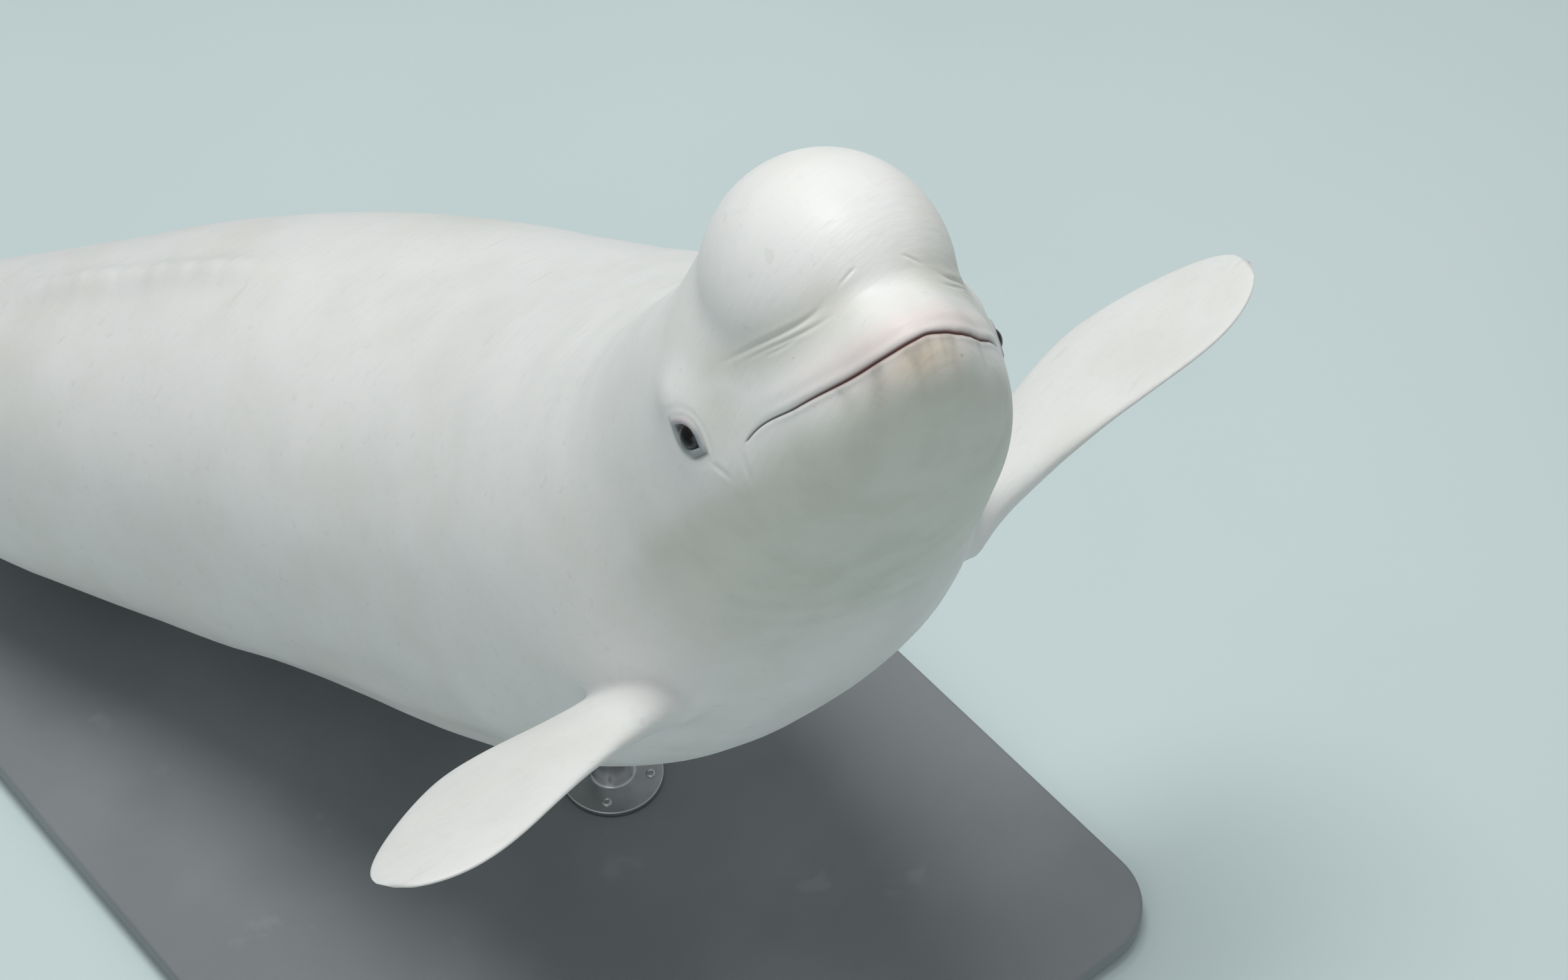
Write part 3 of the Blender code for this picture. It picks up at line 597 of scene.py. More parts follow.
def fluke_mesh():
    mesh, span, chord, side = blade(90, 44)
    across = 2 * span - 1
    out = np.abs(across)
    front = FLUKE_ROOT + (FLUKE_TIP - FLUKE_ROOT) * out**1.55
    lobe = FLUKE_LOBE * np.sin(np.pi * out**0.85)
    rear = FLUKE_NOTCH + (FLUKE_TIP - FLUKE_NOTCH) * out**2 + lobe
    tip = np.sqrt(np.clip(1 - out**6, 0, 1))
    s = (front + rear) / 2 + (rear - front) * (chord - 0.5) * tip
    thick = FLUKE_EDGE + (FLUKE_THICK - FLUKE_EDGE) * (1 - smooth(0.0, 0.9, out))
    belly = np.abs(side) ** 0.9 * np.sqrt(1 - 0.85 * chord)
    z = np.sign(side) * thick / 2 * tip * belly + FLUKE_RISE * out**2
    place_all(mesh, np.stack([FLUKE_HALF_SPAN * across, s, z], 1))
    return mesh


# Flippers
# Broad, short paddles set low behind the throat, their front edges turned up and their tips
# curled, as grown belugas carry them. Each is a blade in the room's frame, rooted in the chest.

FLIPPER_ROOT = (0.262, 0.825, -0.205)
FLIPPER_LENGTH, FLIPPER_SINK = 0.54, 0.06
FLIPPER_SPAN = {1: (0.822, -0.129, 0.555), -1: (-0.899, -0.214, 0.381)}
FLIPPER_WRIST, FLIPPER_CHORD = 0.150, 0.235
FLIPPER_THICK, FLIPPER_EDGE = 0.085, 0.030
FLARE_CHORD, FLARE_THICK, FLARE_REACH = 0.05, 0.045, 0.07
FLIPPER_SWEEP = 0.05
FLIPPER_PITCH = {1: math.radians(23), -1: math.radians(31)}
FLIPPER_CURL = 0.045


def flipper_mesh(side):
    mesh, span, chord, face = blade(64, 40)
    flare = np.exp(-np.clip(span - 0.08, 0, 1) / FLARE_REACH)
    width = FLIPPER_WRIST + (FLIPPER_CHORD - FLIPPER_WRIST) * smooth(0.12, 0.62, span)
    width += FLARE_CHORD * flare
    tip = np.sqrt(np.clip(1 - (2 * np.clip(span - 0.5, 0, 1)) ** 3.2, 0, 1))
    heel = np.sqrt(np.clip(1 - (1 - np.clip(span / 0.12, 0, 1)) ** 2, 0, 1))
    thick = FLIPPER_EDGE + (FLIPPER_THICK - FLIPPER_EDGE) * (1 - smooth(0.05, 0.75, span))
    thick = (thick + FLARE_THICK * flare) * tip * heel
    sweep = -FLIPPER_SWEEP * (span**1.5 - 0.6 * smooth(0.5, 1.0, span))
    fore = sweep + width * tip * heel * (0.45 - chord)
    lift = face * thick / 2 * np.sqrt(1 - 0.80 * chord)
    lift += FLIPPER_CURL * smooth(0.35, 1.0, span) ** 1.3
    root = to_pose(np.array([FLIPPER_ROOT]) * (side, 1, 1))[0]
    run = Vector(FLIPPER_SPAN[side]).normalized()
    level = run.cross(Vector((0, 0, side))).normalized()
    ahead = Matrix.Rotation(-side * FLIPPER_PITCH[side], 3, run) @ level
    reach = span * (FLIPPER_LENGTH + FLIPPER_SINK) - FLIPPER_SINK
    local = np.stack([reach, fore, lift], 1)
    place_all(mesh, root + local @ np.array([run, ahead, run.cross(ahead) * side]))
    return mesh


# One skin
# The body, flukes and flippers grow together with no seam: they are joined, and the roots of the
# fins are smoothed into the body as flesh fills them.

ROOT_REACH = {"flukes": 0.060, "flippers": 0.070}
ROOT_ROUNDS = 26
# Near a seam, within these shares of the reach, faces are cut into triangles and long edges in two
SEAM_TRIANGLES, SEAM_CUTS, LONG_EDGE = 0.6, 0.5, 0.009


def add(name, mesh):
    """An object in the scene, from a bmesh that is then freed."""
    data = bpy.data.meshes.new(name)
    mesh.to_mesh(data)
    mesh.free()
    made = bpy.data.objects.new(name, data)
    bpy.context.scene.collection.objects.link(made)
    return made


def joined(mesh, fins, reach):
    """The body with some fins fused on, their roots smoothed over this reach."""
    for face in mesh.faces:
        face.material_index = 0
    body = add("body_blank", mesh)
    blanks = [body]
    for slot in ("body", "fin"):
        body.data.materials.append(bpy.data.materials.get(slot) or bpy.data.materials.new(slot))
    for fin in fins:
        bmesh.ops.recalc_face_normals(fin, faces=fin.faces)
        for face in fin.faces:
            face.material_index = 1
        blank = add("fin_blank", fin)
        for slot in ("body", "fin"):
            blank.data.materials.append(bpy.data.materials[slot])
        blanks.append(blank)
        union = body.modifiers.new("join", "BOOLEAN")
        union.operation = "UNION"
        union.object = blank
    graph = bpy.context.evaluated_depsgraph_get()
    whole = bmesh.new()
    whole.from_mesh(body.evaluated_get(graph).to_mesh())
    # The union leaves stray colour values on the fins' own points
    for vert in whole.verts:
        if all(face.material_index == 1 for face in vert.link_faces):
            for layer in whole.verts.layers.float.values():
                vert[layer] = 0.0
    for blank in blanks:
        data = blank.data
        bpy.data.objects.remove(blank)
        bpy.data.meshes.remove(data)
    seam = [
        e for e in whole.edges
        if len(e.link_faces) == 2 and len({f.material_index for f in e.link_faces}) == 2
    ]
    tree = kdtree.KDTree(2 * len(seam))
    for k, vert in enumerate(v for e in seam for v in e.verts):
        tree.insert(vert.co, k)
    tree.balance()
    faces_reach, edges_reach = SEAM_TRIANGLES * reach, SEAM_CUTS * reach
    near = [f for f in whole.faces if tree.find(f.calc_center_median())[2] < faces_reach]
    bmesh.ops.triangulate(whole, faces=near)
    long = [
        e for e in whole.edges
        if e.calc_length() > LONG_EDGE and tree.find(e.verts[0].co)[2] < edges_reach
    ]
    bmesh.ops.subdivide_edges(whole, edges=long, cuts=1, use_grid_fill=False)
    bmesh.ops.triangulate(whole, faces=[f for f in whole.faces if len(f.verts) > 4])
    away = {v: tree.find(v.co)[2] for v in whole.verts}
    for step in range(ROOT_ROUNDS):
        limit = reach * (1 - step / ROOT_ROUNDS)
        near = [v for v in whole.verts if away[v] < limit]
        bmesh.ops.smooth_vert(
            whole, verts=near, factor=0.5, use_axis_x=True, use_axis_y=True, use_axis_z=True
        )
    return whole


STREAKS = 18
CHEEK_SHADE = np.array((0.190, 0.250, 0.003))

skin_mesh = body_mesh()
plain = coordinates(skin_mesh)
relief = mouth_relief(plain) + blowhole_relief(plain) + crease_relief(plain) + fold_relief(plain)
relief += eye_relief(plain, 1) + eye_relief(plain, -1) + ridge_relief(plain) + swell_relief(plain)
place_all(skin_mesh, plain + outward(plain) * relief[:, None])

# Where the skin's colours change: the lip line, the lids' grey and lilac rims with painted shade in their
# lower folds and inside their openings, the blush of the upper lip, painted shade tinted ivory-green
# below the mouth, painted shade tinted yellow-green in the creases and cheek hollows, the streaks and the
# stain below the lip and the blowhole's slit, all as values on its points
above, behind = mouth_distance(plain)
lip_end = smooth(0.004, -0.010, behind)
front = smooth(0.17, 0.04, plain[:, 1])
mark(skin_mesh, "lip_line", bump(above, 0.0013 + 0.0006 * front) * lip_end)
mark(skin_mesh, "lip_red", bump(above, 0.0030) * front * lip_end)
rim, lilac, inside, fold = (np.zeros(len(plain)) for _ in range(4))
for side in (1, -1):
    away, u, v = lid_distance(plain, side)
    edge = smooth(0.017, 0.005, away)
    upper = smooth(-0.004, 0.007, v) * smooth(0.020, -0.004, u)
    rim = np.maximum(rim, edge * (1 - upper))
    lilac = np.maximum(lilac, edge * upper)
    corner = smooth(0.012, 0.022, np.abs(u))
    # Painted shade on the skin that turns in between the lids, lighter in the shallow corners
    inside = np.maximum(inside, smooth(0.0014, -0.0012, away) * (1 - 0.55 * corner))
    # Painted shade in the furrow below the lower lid, towards its front end
    low_end = smooth(0.008, 0.024, u) * smooth(0.012, -0.004, v)
    fold = np.maximum(fold, bump(away - 0.0110, 0.0026) * low_end)
mark(skin_mesh, "lid_rim", rim)
mark(skin_mesh, "lid_lilac", lilac)
mark(skin_mesh, "lid_inside_shade", inside)
mark(skin_mesh, "lid_fold_shade", fold)
mark(skin_mesh, "blush", bump(above - 0.018, 0.026) * smooth(0.18, 0.02, plain[:, 1]))
# Painted shade with an ivory-green tint below the mouth on the lower jaw, fading out along the throat
chin_shade_and_tint = smooth(-0.004, -0.060, above) * smooth(0.75, 0.40, plain[:, 1])
mark(skin_mesh, "chin_shade_and_tint", chin_shade_and_tint)
# Painted shade, tinted yellow-green, in the hollows of the face creases and on the cheek hollow before
# the eye
olive_shade = np.zeros(len(plain))
for line, _, _ in STROKES[2:8]:
    olive_shade = np.maximum(olive_shade, bump(along_stroke(plain, line)[0], 0.030))
for side in (1, -1):
    to_cheek = np.linalg.norm(plain - CHEEK_SHADE * (side, 1, 1), axis=1)
    olive_shade = np.maximum(olive_shade, bump(to_cheek, 0.040))
mark(skin_mesh, "olive_shade", olive_shade)
random.seed(5)
streaks = np.zeros(len(plain))
for _ in range(STREAKS):
    x, drop = random.gauss(0.0, 0.050), random.uniform(0.020, 0.075)
    width, lean = random.uniform(0.0018, 0.0075), random.uniform(-0.30, 0.30)
    hang = bump(plain[:, 0] - x - lean * above, width) * smooth(-drop, -0.3 * drop, above)
    strength = random.uniform(0.25, 0.9) * smooth(0.10, 0.05, plain[:, 1])
    streaks += strength * hang * smooth(0.0, -0.006, above)
mark(skin_mesh, "streaks", np.clip(streaks, 0, 1))
stain = bump(above + 0.020, 0.022) * bump(plain[:, 0] + 0.010, 0.055)
mark(skin_mesh, "stain", stain * smooth(0.12, 0.06, plain[:, 1]) * smooth(0.0, -0.004, above))
mark(skin_mesh, "blowhole_slit", bump(blowhole_distance(plain), 0.0036))

skin_mesh = joined(skin_mesh, [fluke_mesh()], ROOT_REACH["flukes"])
place_all(skin_mesh, to_pose(coordinates(skin_mesh)))
skin_mesh = joined(skin_mesh, [flipper_mesh(1), flipper_mesh(-1)], ROOT_REACH["flippers"])
bmesh.ops.recalc_face_normals(skin_mesh, faces=skin_mesh.faces)
for face in skin_mesh.faces:
    face.smooth = True
    face.material_index = 0
skin = add("whale_skin", skin_mesh)
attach(skin, "root")
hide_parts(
    "head", "lower_jaw", "neck", "torso_front", "torso_rear", "tail_stock",
    "fluke_left", "fluke_right", "flipper_left", "flipper_right",
)

# Skin finish
# White hide with a satin, slightly wet shine: ivory and grey clouds, painted shade tinted yellow-green in
# the creases and cheek hollows and tinted ivory-green below the mouth, a pink blush on the upper lip,
# painted shade in the lids' folds and openings, fine pores and wrinkles, and pale scratches.


def put(tree, socket, value):
    """Sets an input, or joins it to another node's output."""
    if isinstance(value, bpy.types.NodeSocket):
        tree.links.new(value, socket)
    else:
        socket.default_value = value


def feed(tree, made, **inputs):
    """Puts values into a node's inputs by name, with underscores for spaces."""
    for name, value in inputs.items():
        put(tree, made.inputs[name.replace("_", " ")], value)


def node(tree, kind, **inputs):
    made = tree.nodes.new(kind)
    feed(tree, made, **inputs)
    return made


def clouds_group():
    """Noise turned into a soft mask between two levels, for any finish."""
    group = bpy.data.node_groups.new("clouds", "ShaderNodeTree")
    for name, kind, value in (
        ("Vector", "NodeSocketVector", None),
        ("Scale", "NodeSocketFloat", 5.0),
        ("Detail", "NodeSocketFloat", 3.0),
        ("Low", "NodeSocketFloat", 0.4),
        ("High", "NodeSocketFloat", 0.6),
    ):
        socket = group.interface.new_socket(name, in_out="INPUT", socket_type=kind)
        if value is not None:
            socket.default_value = value
    group.interface.new_socket("Mask", in_out="OUTPUT", socket_type="NodeSocketFloat")
    start, end = group.nodes.new("NodeGroupInput"), group.nodes.new("NodeGroupOutput")
    pattern = node(
        group, "ShaderNodeTexNoise",
        Vector=start.outputs["Vector"], Scale=start.outputs["Scale"], Detail=start.outputs["Detail"],
    )
    mask = node(
        group, "ShaderNodeMapRange",
        Value=pattern.outputs["Fac"], From_Min=start.outputs["Low"], From_Max=start.outputs["High"],
    )
    mask.interpolation_type = "SMOOTHSTEP"
    group.links.new(mask.outputs["Result"], end.inputs["Mask"])
    return group


CLOUDS = clouds_group()


def clouds(tree, vector, scale, low, high, detail=3.0):
    made = node(tree, "ShaderNodeGroup")
    made.node_tree = CLOUDS
    feed(tree, made, Vector=vector, Scale=scale, Detail=detail, Low=low, High=high)
    return made.outputs["Mask"]


def times(tree, a, b):
    made = node(tree, "ShaderNodeMath")
    made.operation = "MULTIPLY"
    put(tree, made.inputs[0], a)
    put(tree, made.inputs[1], b)
    return made.outputs[0]


# Where a mix node has its factor, its two colours and its result
MIX_SHARE, MIX_BASE, MIX_COLOUR, MIX_RESULT = 0, 6, 7, 2


def tinted(tree, base, colour, share):
    """The base colour with another one mixed in by a mask."""
    made = node(tree, "ShaderNodeMix")
    made.data_type = "RGBA"
    put(tree, made.inputs[MIX_SHARE], share)
    for socket, value in ((MIX_BASE, base), (MIX_COLOUR, colour)):
        put(tree, made.inputs[socket], (*value, 1.0) if isinstance(value, tuple) else value)
    return made.outputs[MIX_RESULT]


def finish(name, roughness, metallic=0.0):
    """A new material, its shader, its node tree and its object coordinates."""
    made = bpy.data.materials.new(name)
    made.use_nodes = True
    tree = made.node_tree
    shader = tree.nodes["Principled BSDF"]
    feed(tree, shader, Roughness=roughness, Metallic=metallic)
    return made, shader, tree, node(tree, "ShaderNodeTexCoord").outputs["Object"]


def value_on_skin(tree, name):
    made = node(tree, "ShaderNodeAttribute")
    made.attribute_name = name
    return made.outputs["Fac"]


def painted(tree, colour, *tints):
    """The colour with tints mixed in, each by a share of its own value on the skin."""
    for name, tint, share in tints:
        colour = tinted(tree, colour, tint, times(tree, value_on_skin(tree, name), share))
    return colour


WHITE, GREY_CLOUD, IVORY = (0.830, 0.830, 0.815), (0.690, 0.700, 0.665), (0.740, 0.735, 0.670)
CHIN_SHADE_AND_TINT, MOTTLE = (0.660, 0.675, 0.600), (0.520, 0.545, 0.465)
OLIVE_SHADE, BLUSH, STREAK = (0.530, 0.530, 0.420), (0.760, 0.640, 0.615), (0.380, 0.360, 0.310)
STAIN, SCRATCH = (0.620, 0.510, 0.370), (0.620, 0.620, 0.590)
LIP_GREY, LIP_RED = (0.170, 0.165, 0.150), (0.190, 0.055, 0.040)
# The last of these is the near-black of painted shade in the lids' fold and inside their openings
LID_GREY, LID_LILAC, LID_SHADE = (0.230, 0.265, 0.280), (0.430, 0.390, 0.415), (0.020, 0.020, 0.022)

hide, shader, tree, where = finish("whale_hide", 0.40)
colour = tinted(tree, WHITE, GREY_CLOUD, times(tree, clouds(tree, where, 3.2, 0.46, 0.72, 4.0), 0.45))
colour = tinted(tree, colour, IVORY, times(tree, clouds(tree, where, 7.0, 0.42, 0.70, 5.0), 0.35))
# The skin below the mouth is darkened with painted shade tinted ivory-green, and the mottles lie there
# too
under = value_on_skin(tree, "chin_shade_and_tint")
colour = tinted(tree, colour, CHIN_SHADE_AND_TINT, times(tree, under, 0.85))
mottles = times(tree, clouds(tree, where, 14.0, 0.42, 0.66, 5.0), under)
colour = tinted(tree, colour, MOTTLE, times(tree, mottles, 0.28))
# Painted shade tinted yellow-green in the creases and cheek hollows
colour = painted(tree, colour, ("olive_shade", OLIVE_SHADE, 0.34))
flecks = clouds(tree, where, 55.0, 0.55, 0.70, 6.0)
colour = tinted(tree, colour, GREY_CLOUD, times(tree, flecks, 0.15))
colour = painted(
    tree, colour,
    ("blush", BLUSH, 0.55),
    ("stain", STAIN, 0.70),
    ("streaks", STREAK, 0.50),
)
rakes = node(tree, "ShaderNodeMapping", Vector=where, Rotation=(0.9, 0.2, 0.7), Scale=(3.0, 60.0, 60.0))
scratches = times(tree, clouds(tree, rakes.outputs["Vector"], 1.0, 0.68, 0.72, 2.0), 0.22)
colour = tinted(tree, colour, SCRATCH, scratches)
colour = painted(
    tree, colour,
    ("lid_lilac", LID_LILAC, 0.85),
    ("lid_rim", LID_GREY, 0.85),
    # Painted shade in the lower lid's furrow
    ("lid_fold_shade", LID_SHADE, 0.60),
    # Painted shade inside the lids' opening
    ("lid_inside_shade", LID_SHADE, 1.0),
    ("blowhole_slit", LIP_GREY, 0.85),
    ("lip_line", LIP_GREY, 0.85),
    ("lip_red", LIP_RED, 0.75),
)
dull_patches = clouds(tree, where, 18.0, 0.3, 0.7)
sheen = node(tree, "ShaderNodeMapRange", Value=dull_patches, To_Min=0.46, To_Max=0.60)
pores = node(tree, "ShaderNodeTexNoise", Vector=where, Scale=420.0, Detail=4.0)
stretch = node(tree, "ShaderNodeMapping", Vector=where, Rotation=(0.4, 0.3, 0.0), Scale=(1.0, 5.0, 1.0))
wrinkles = node(tree, "ShaderNodeTexNoise", Vector=stretch.outputs["Vector"], Scale=20.0, Detail=4.0)
fine = node(tree, "ShaderNodeBump", Height=pores.outputs["Fac"], Strength=0.10, Distance=0.0015)
soft = node(
    tree, "ShaderNodeBump",
    Height=wrinkles.outputs["Fac"], Normal=fine.outputs["Normal"], Strength=0.18, Distance=0.006,
)
feed(tree, shader, Base_Color=colour, Roughness=sheen.outputs["Result"], Normal=soft.outputs["Normal"])
feed(tree, shader, Subsurface_Weight=0.12, Subsurface_Radius=(0.020, 0.012, 0.008), Subsurface_Scale=1.0)
feed(tree, shader, Coat_Weight=0.06, Coat_Roughness=0.30, Specular_IOR_Level=0.35)
skin.data.materials.clear()
skin.data.materials.append(hide)

# Eyes
# Small and almost black, with a dark brown iris and a grey-blue rim, and a wet, clear front. Each
# is a round ball set behind its lids, and looks a little ahead.

EYE_RADIUS, EYE_DEPTH = 0.0205, 0.0068
GAZE_AHEAD = 0.08

gloss, shader, tree, where = finish("eye_gloss", 0.08)
away = value_on_skin(tree, "from_pupil")
iris = clouds(tree, where, 190.0, 0.38, 0.70, 3.0)
ring = node(tree, "ShaderNodeMapRange", Value=away, From_Min=0.0040, From_Max=0.0085)
rim = node(tree, "ShaderNodeMapRange", Value=away, From_Min=0.0130, From_Max=0.0190)
colour = tinted(tree, (0.002, 0.002, 0.003), (0.012, 0.008, 0.005), times(tree, ring.outputs[0], iris))
colour = tinted(tree, colour, (0.080, 0.095, 0.102), rim.outputs[0])
feed(tree, shader, Base_Color=colour, Coat_Weight=0.25, Coat_Roughness=0.03, Specular_IOR_Level=0.15)

for name, side in (("eye_left", 1), ("eye_right", -1)):
    mesh = bmesh.new()
    bmesh.ops.create_uvsphere(mesh, u_segments=48, v_segments=32, radius=EYE_RADIUS)
    globe = coordinates(mesh)
    at, normal, along, across = EYE_PLACES[side]
    place_all(mesh, to_pose(at - normal * EYE_DEPTH + globe @ np.array([along, across, normal])))
    gaze = np.array((GAZE_AHEAD, GAZE_AHEAD, 1.0))
    facing = globe @ gaze / np.linalg.norm(gaze) / EYE_RADIUS
    mark(mesh, "from_pupil", EYE_RADIUS * np.arccos(np.clip(facing, -1, 1)))
    bmesh.ops.recalc_face_normals(mesh, faces=mesh.faces)
    for face in mesh.faces:
        face.smooth = True
    ball = add(name + "_ball", mesh)
    ball.data.materials.append(gloss)
    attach(ball, "root")
    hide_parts(name)

# Stand base
# A plain plate of painted timber, its corners round and its edges eased, on a recessed plinth in the
# same paint that keeps a shadow line above the floor.

PLATE_CORNER, PLATE_EASE = 0.12, 0.006
PLINTH_HIGH, PLINTH_IN = 0.010, 0.012

low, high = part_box("stand_base")


def plate(bottom, top, inset, ease):
    """A flat slab with round corners over the base's area, drawn in by an inset."""
    mesh = bmesh.new()
    bmesh.ops.create_cube(mesh, size=1)
    size = Vector((high.x - low.x - 2 * inset, high.y - low.y - 2 * inset, top - bottom))
    bmesh.ops.scale(mesh, vec=size, verts=mesh.verts)
    bmesh.ops.translate(
        mesh, vec=((low.x + high.x) / 2, (low.y + high.y) / 2, (top + bottom) / 2), verts=mesh.verts
    )
    corners = [e for e in mesh.edges if abs(e.verts[0].co.z - e.verts[1].co.z) > 1e-6]
    bmesh.ops.bevel(
        mesh, geom=corners, offset=PLATE_CORNER - inset, segments=20, affect="EDGES",
        profile=0.5, material=-1,
    )
    if ease:
        rims = [e for e in mesh.edges if abs(e.verts[0].co.z - e.verts[1].co.z) < 1e-6
                and any(abs(f.normal.z) > 0.9 for f in e.link_faces)]
        bmesh.ops.bevel(
            mesh, geom=rims, offset=ease, segments=4, affect="EDGES", profile=0.5, material=-1
        )
    bmesh.ops.recalc_face_normals(mesh, faces=mesh.faces)
    for face in mesh.faces:
        face.smooth = abs(face.normal.z) < 0.99
    return mesh


paint, shader, tree, where = finish("stand_paint_satin", 0.5)
shade = clouds(tree, where, 2.5, 0.35, 0.65)
colour = tinted(tree, (0.200, 0.218, 0.228), (0.240, 0.260, 0.270), shade)
scuffs = clouds(tree, where, 9.0, 0.66, 0.74, 8.0)
colour = tinted(tree, colour, (0.36, 0.37, 0.37), times(tree, scuffs, 0.25))
tree.links.new(colour, shader.inputs["Base Color"])
worn = node(tree, "ShaderNodeMapRange", Value=scuffs, To_Min=0.42, To_Max=0.60)
tree.links.new(worn.outputs["Result"], shader.inputs["Roughness"])
roller = node(tree, "ShaderNodeTexNoise", Vector=where, Scale=260.0, Detail=2.0)
peel = node(tree, "ShaderNodeBump", Height=roller.outputs["Fac"], Strength=0.12, Distance=0.001)
tree.links.new(peel.outputs["Normal"], shader.inputs["Normal"])

plinth = add("stand_plinth", plate(low.z, low.z + PLINTH_HIGH, PLINTH_IN, 0))
slab = add("stand_plate", plate(low.z + PLINTH_HIGH, high.z, 0, PLATE_EASE))
for piece in (plinth, slab):
    piece.data.materials.append(paint)
    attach(piece, "root")
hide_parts("stand_base")

# Stand posts
# Two upright rods of brushed steel, each turned with a round foot that is screwed to the plate.
# They end inside the belly, where the skin closes round them.

FOOT_THICK, FOOT_EASE = 0.012, 0.0025
WELD = 0.006
POST_SINK = 0.030
ROD_RADII = {"stand_rod_front": 0.034, "stand_rod_rear": 0.028}
SCREW_CIRCLE, SCREW_HEAD, SCREW_HIGH, SCREW_SOCKET = 0.064, 0.0085, 0.0048, 0.0042
# Radius and height over the foot of each point of a screw's outline
SCREW_OUTLINE = (
    (0, -0.002),
    (SCREW_HEAD, -0.002),
    (SCREW_HEAD, 0.4 * SCREW_HIGH),
    (0.8 * SCREW_HEAD, 0.85 * SCREW_HIGH),
    (SCREW_SOCKET, SCREW_HIGH),
    (SCREW_SOCKET, 0.3 * SCREW_HIGH),
    (0, 0.3 * SCREW_HIGH),
)
POST_STEPS, SCREW_STEPS, SCREWS = 64, 12, 4

steel, shader, tree, where = finish("brushed_post_steel", 0.30, 1.0)
stretch = node(tree, "ShaderNodeMapping", Vector=where, Scale=(40.0, 40.0, 900.0))
lines = node(tree, "ShaderNodeTexNoise", Vector=stretch.outputs["Vector"], Scale=1.0, Detail=3.0)
colour = tinted(tree, (0.520, 0.530, 0.540), (0.680, 0.690, 0.700), lines.outputs["Fac"])
colour = tinted(tree, colour, (0.40, 0.40, 0.39), times(tree, clouds(tree, where, 30.0, 0.55, 0.75), 0.3))
tree.links.new(colour, shader.inputs["Base Color"])
dull = node(tree, "ShaderNodeMapRange", Value=lines.outputs["Fac"], To_Min=0.22, To_Max=0.42)
tree.links.new(dull.outputs["Result"], shader.inputs["Roughness"])
grain = node(tree, "ShaderNodeBump", Height=lines.outputs["Fac"], Strength=0.06, Distance=0.0005)
tree.links.new(grain.outputs["Normal"], shader.inputs["Normal"])


def turned(x, y, profile, steps):
    """A closed solid turned about the upright axis at x, y from (radius, height) points."""
    mesh = bmesh.new()
    verts = [mesh.verts.new((x + radius, y, z)) for radius, z in profile]
    edges = [mesh.edges.new(ends) for ends in zip(verts, verts[1:])]
    bmesh.ops.spin(
        mesh, geom=verts + edges, cent=(x, y, 0), axis=(0, 0, 1), angle=2 * math.pi,
        steps=steps, use_merge=True,
    )
    bmesh.ops.remove_doubles(mesh, verts=mesh.verts, dist=1e-5)
    bmesh.ops.recalc_face_normals(mesh, faces=mesh.faces)
    for face in mesh.faces:
        face.smooth = abs(face.normal.z) < 0.9
    return mesh


screws = bmesh.new()
for name, rod in ROD_RADII.items():
    low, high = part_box(name)
    x, y = (low.x + high.x) / 2, (low.y + high.y) / 2
    foot = (high.x - low.x) / 2
    top = low.z + FOOT_THICK
    arc = [(foot - FOOT_EASE * (1 - math.cos(a)), top - FOOT_EASE * (1 - math.sin(a)))
           for a in np.linspace(0, math.pi / 2, 5)]
    weld = [(rod + WELD * (1 - math.sin(a)), top + WELD * (1 - math.cos(a)))
            for a in np.linspace(0, math.pi / 2, 6)]
    end = high.z + POST_SINK
    outline = [(0, low.z), (foot, low.z), *arc, *weld, (rod, end), (0, end)]
    post = add(name.replace("rod", "post"), turned(x, y, outline, POST_STEPS))
    post.data.materials.append(steel)
    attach(post, "root")
    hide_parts(name)
    for k in range(SCREWS):
        a = math.pi / 4 + k * math.pi / 2
        head = turned(
            x + SCREW_CIRCLE * math.cos(a), y + SCREW_CIRCLE * math.sin(a),
            [(radius, top + height) for radius, height in SCREW_OUTLINE], SCREW_STEPS,
        )
        made = bpy.data.meshes.new("screw")
        head.to_mesh(made)
        head.free()
        screws.from_mesh(made)
        bpy.data.meshes.remove(made)
fixings = add("stand_screws", screws)
fixings.data.materials.append(steel)
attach(fixings, "root")

# Floor, light and camera
# A pale, plain studio floor under one broad soft light from above and a weak fill, with the camera
# high in front on the whale's right, as the photograph was taken.

FLOOR_HALF = 20.0

mesh = bmesh.new()
bmesh.ops.create_grid(mesh, x_segments=1, y_segments=1, size=FLOOR_HALF)
floor = add("studio_floor", mesh)
pale, shader, tree, where = finish("pale_floor", 0.7)
colour = tinted(tree, (0.66, 0.78, 0.78), (0.69, 0.80, 0.80), clouds(tree, where, 0.8, 0.3, 0.7))
tree.links.new(colour, shader.inputs["Base Color"])
floor.data.materials.append(pale)

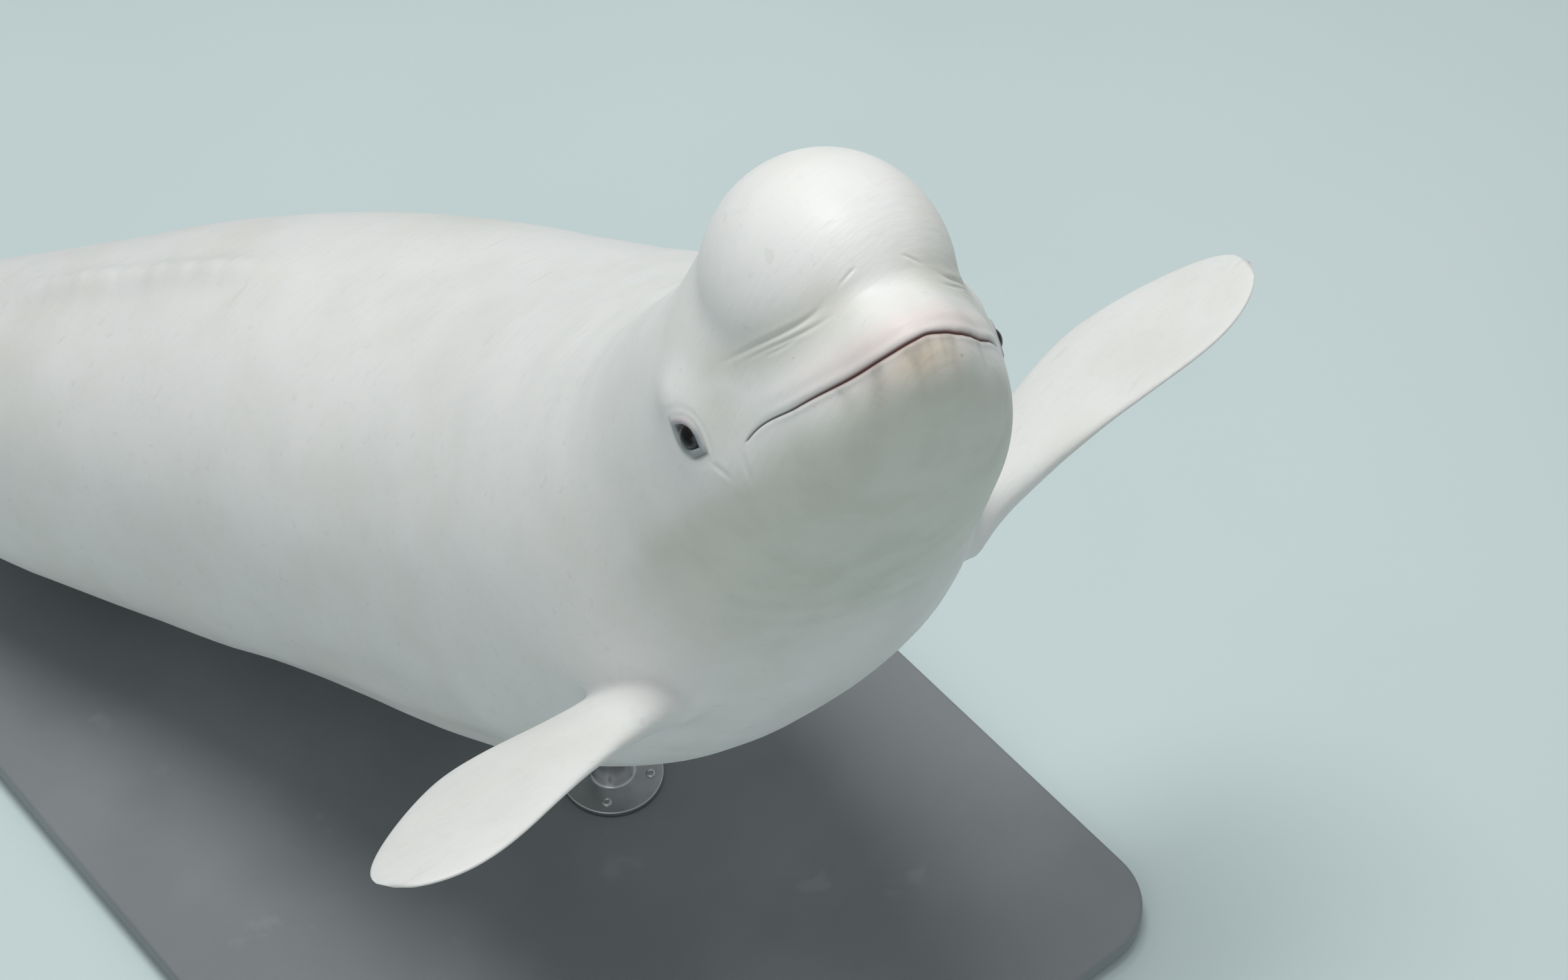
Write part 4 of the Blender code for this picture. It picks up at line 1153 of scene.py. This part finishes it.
world = bpy.data.worlds.new("studio")
world.use_nodes = True
world.node_tree.nodes["Background"].inputs["Color"].default_value = (0.94, 0.98, 1.0, 1.0)
world.node_tree.nodes["Background"].inputs["Strength"].default_value = 0.38
bpy.context.scene.world = world
bpy.context.scene.view_settings.view_transform = "Standard"

for name, place, aim, size, power, tone in (
    ("key", (0.4, 0.6, 6.7), (0.0, -0.5, 1.2), 2.6, 203.0, (1.0, 1.0, 0.99)),
    ("fill", (-4.5, -4.0, 3.0), (0.0, -0.6, 1.2), 3.5, 22.0, (0.97, 0.99, 1.0)),
):
    data = bpy.data.lights.new(name, "AREA")
    data.shape = "DISK"
    data.size, data.energy, data.color = size, power, tone
    lamp = bpy.data.objects.new(name, data)
    bpy.context.scene.collection.objects.link(lamp)
    lamp.location = place
    lamp.rotation_euler = (Vector(aim) - Vector(place)).to_track_quat("-Z", "Y").to_euler()

PHOTO_SIZE = (2420, 1512)
VIEW_TURN, VIEW_HEIGHT = math.radians(-39.5), math.radians(50)
VIEW_DISTANCE, FOCAL_PIXELS = 4.5, 5580
# Where the middle between the eyes falls in the photograph, in pixels
EYES_AT = (1302, 597)

middle = Vector(sum(to_pose(EYE_PLACES[side][0][None])[0] for side in (1, -1)) / 2)
back = Vector((
    math.sin(VIEW_TURN) * math.cos(VIEW_HEIGHT),
    -math.cos(VIEW_TURN) * math.cos(VIEW_HEIGHT),
    math.sin(VIEW_HEIGHT),
))
right = Vector((math.cos(VIEW_TURN), math.sin(VIEW_TURN), 0))
up = back.cross(right)
across = (EYES_AT[0] - PHOTO_SIZE[0] / 2) / FOCAL_PIXELS * VIEW_DISTANCE
down = (EYES_AT[1] - PHOTO_SIZE[1] / 2) / FOCAL_PIXELS * VIEW_DISTANCE
camera = bpy.data.objects.new("camera", bpy.data.cameras.new("camera"))
bpy.context.scene.collection.objects.link(camera)
camera.data.sensor_width = 36
camera.data.lens = FOCAL_PIXELS / PHOTO_SIZE[0] * camera.data.sensor_width
camera.matrix_world = Matrix.LocRotScale(
    middle - right * across + up * down + back * VIEW_DISTANCE,
    Matrix((right, up, back)).transposed(),
    None,
)
bpy.context.scene.camera = camera
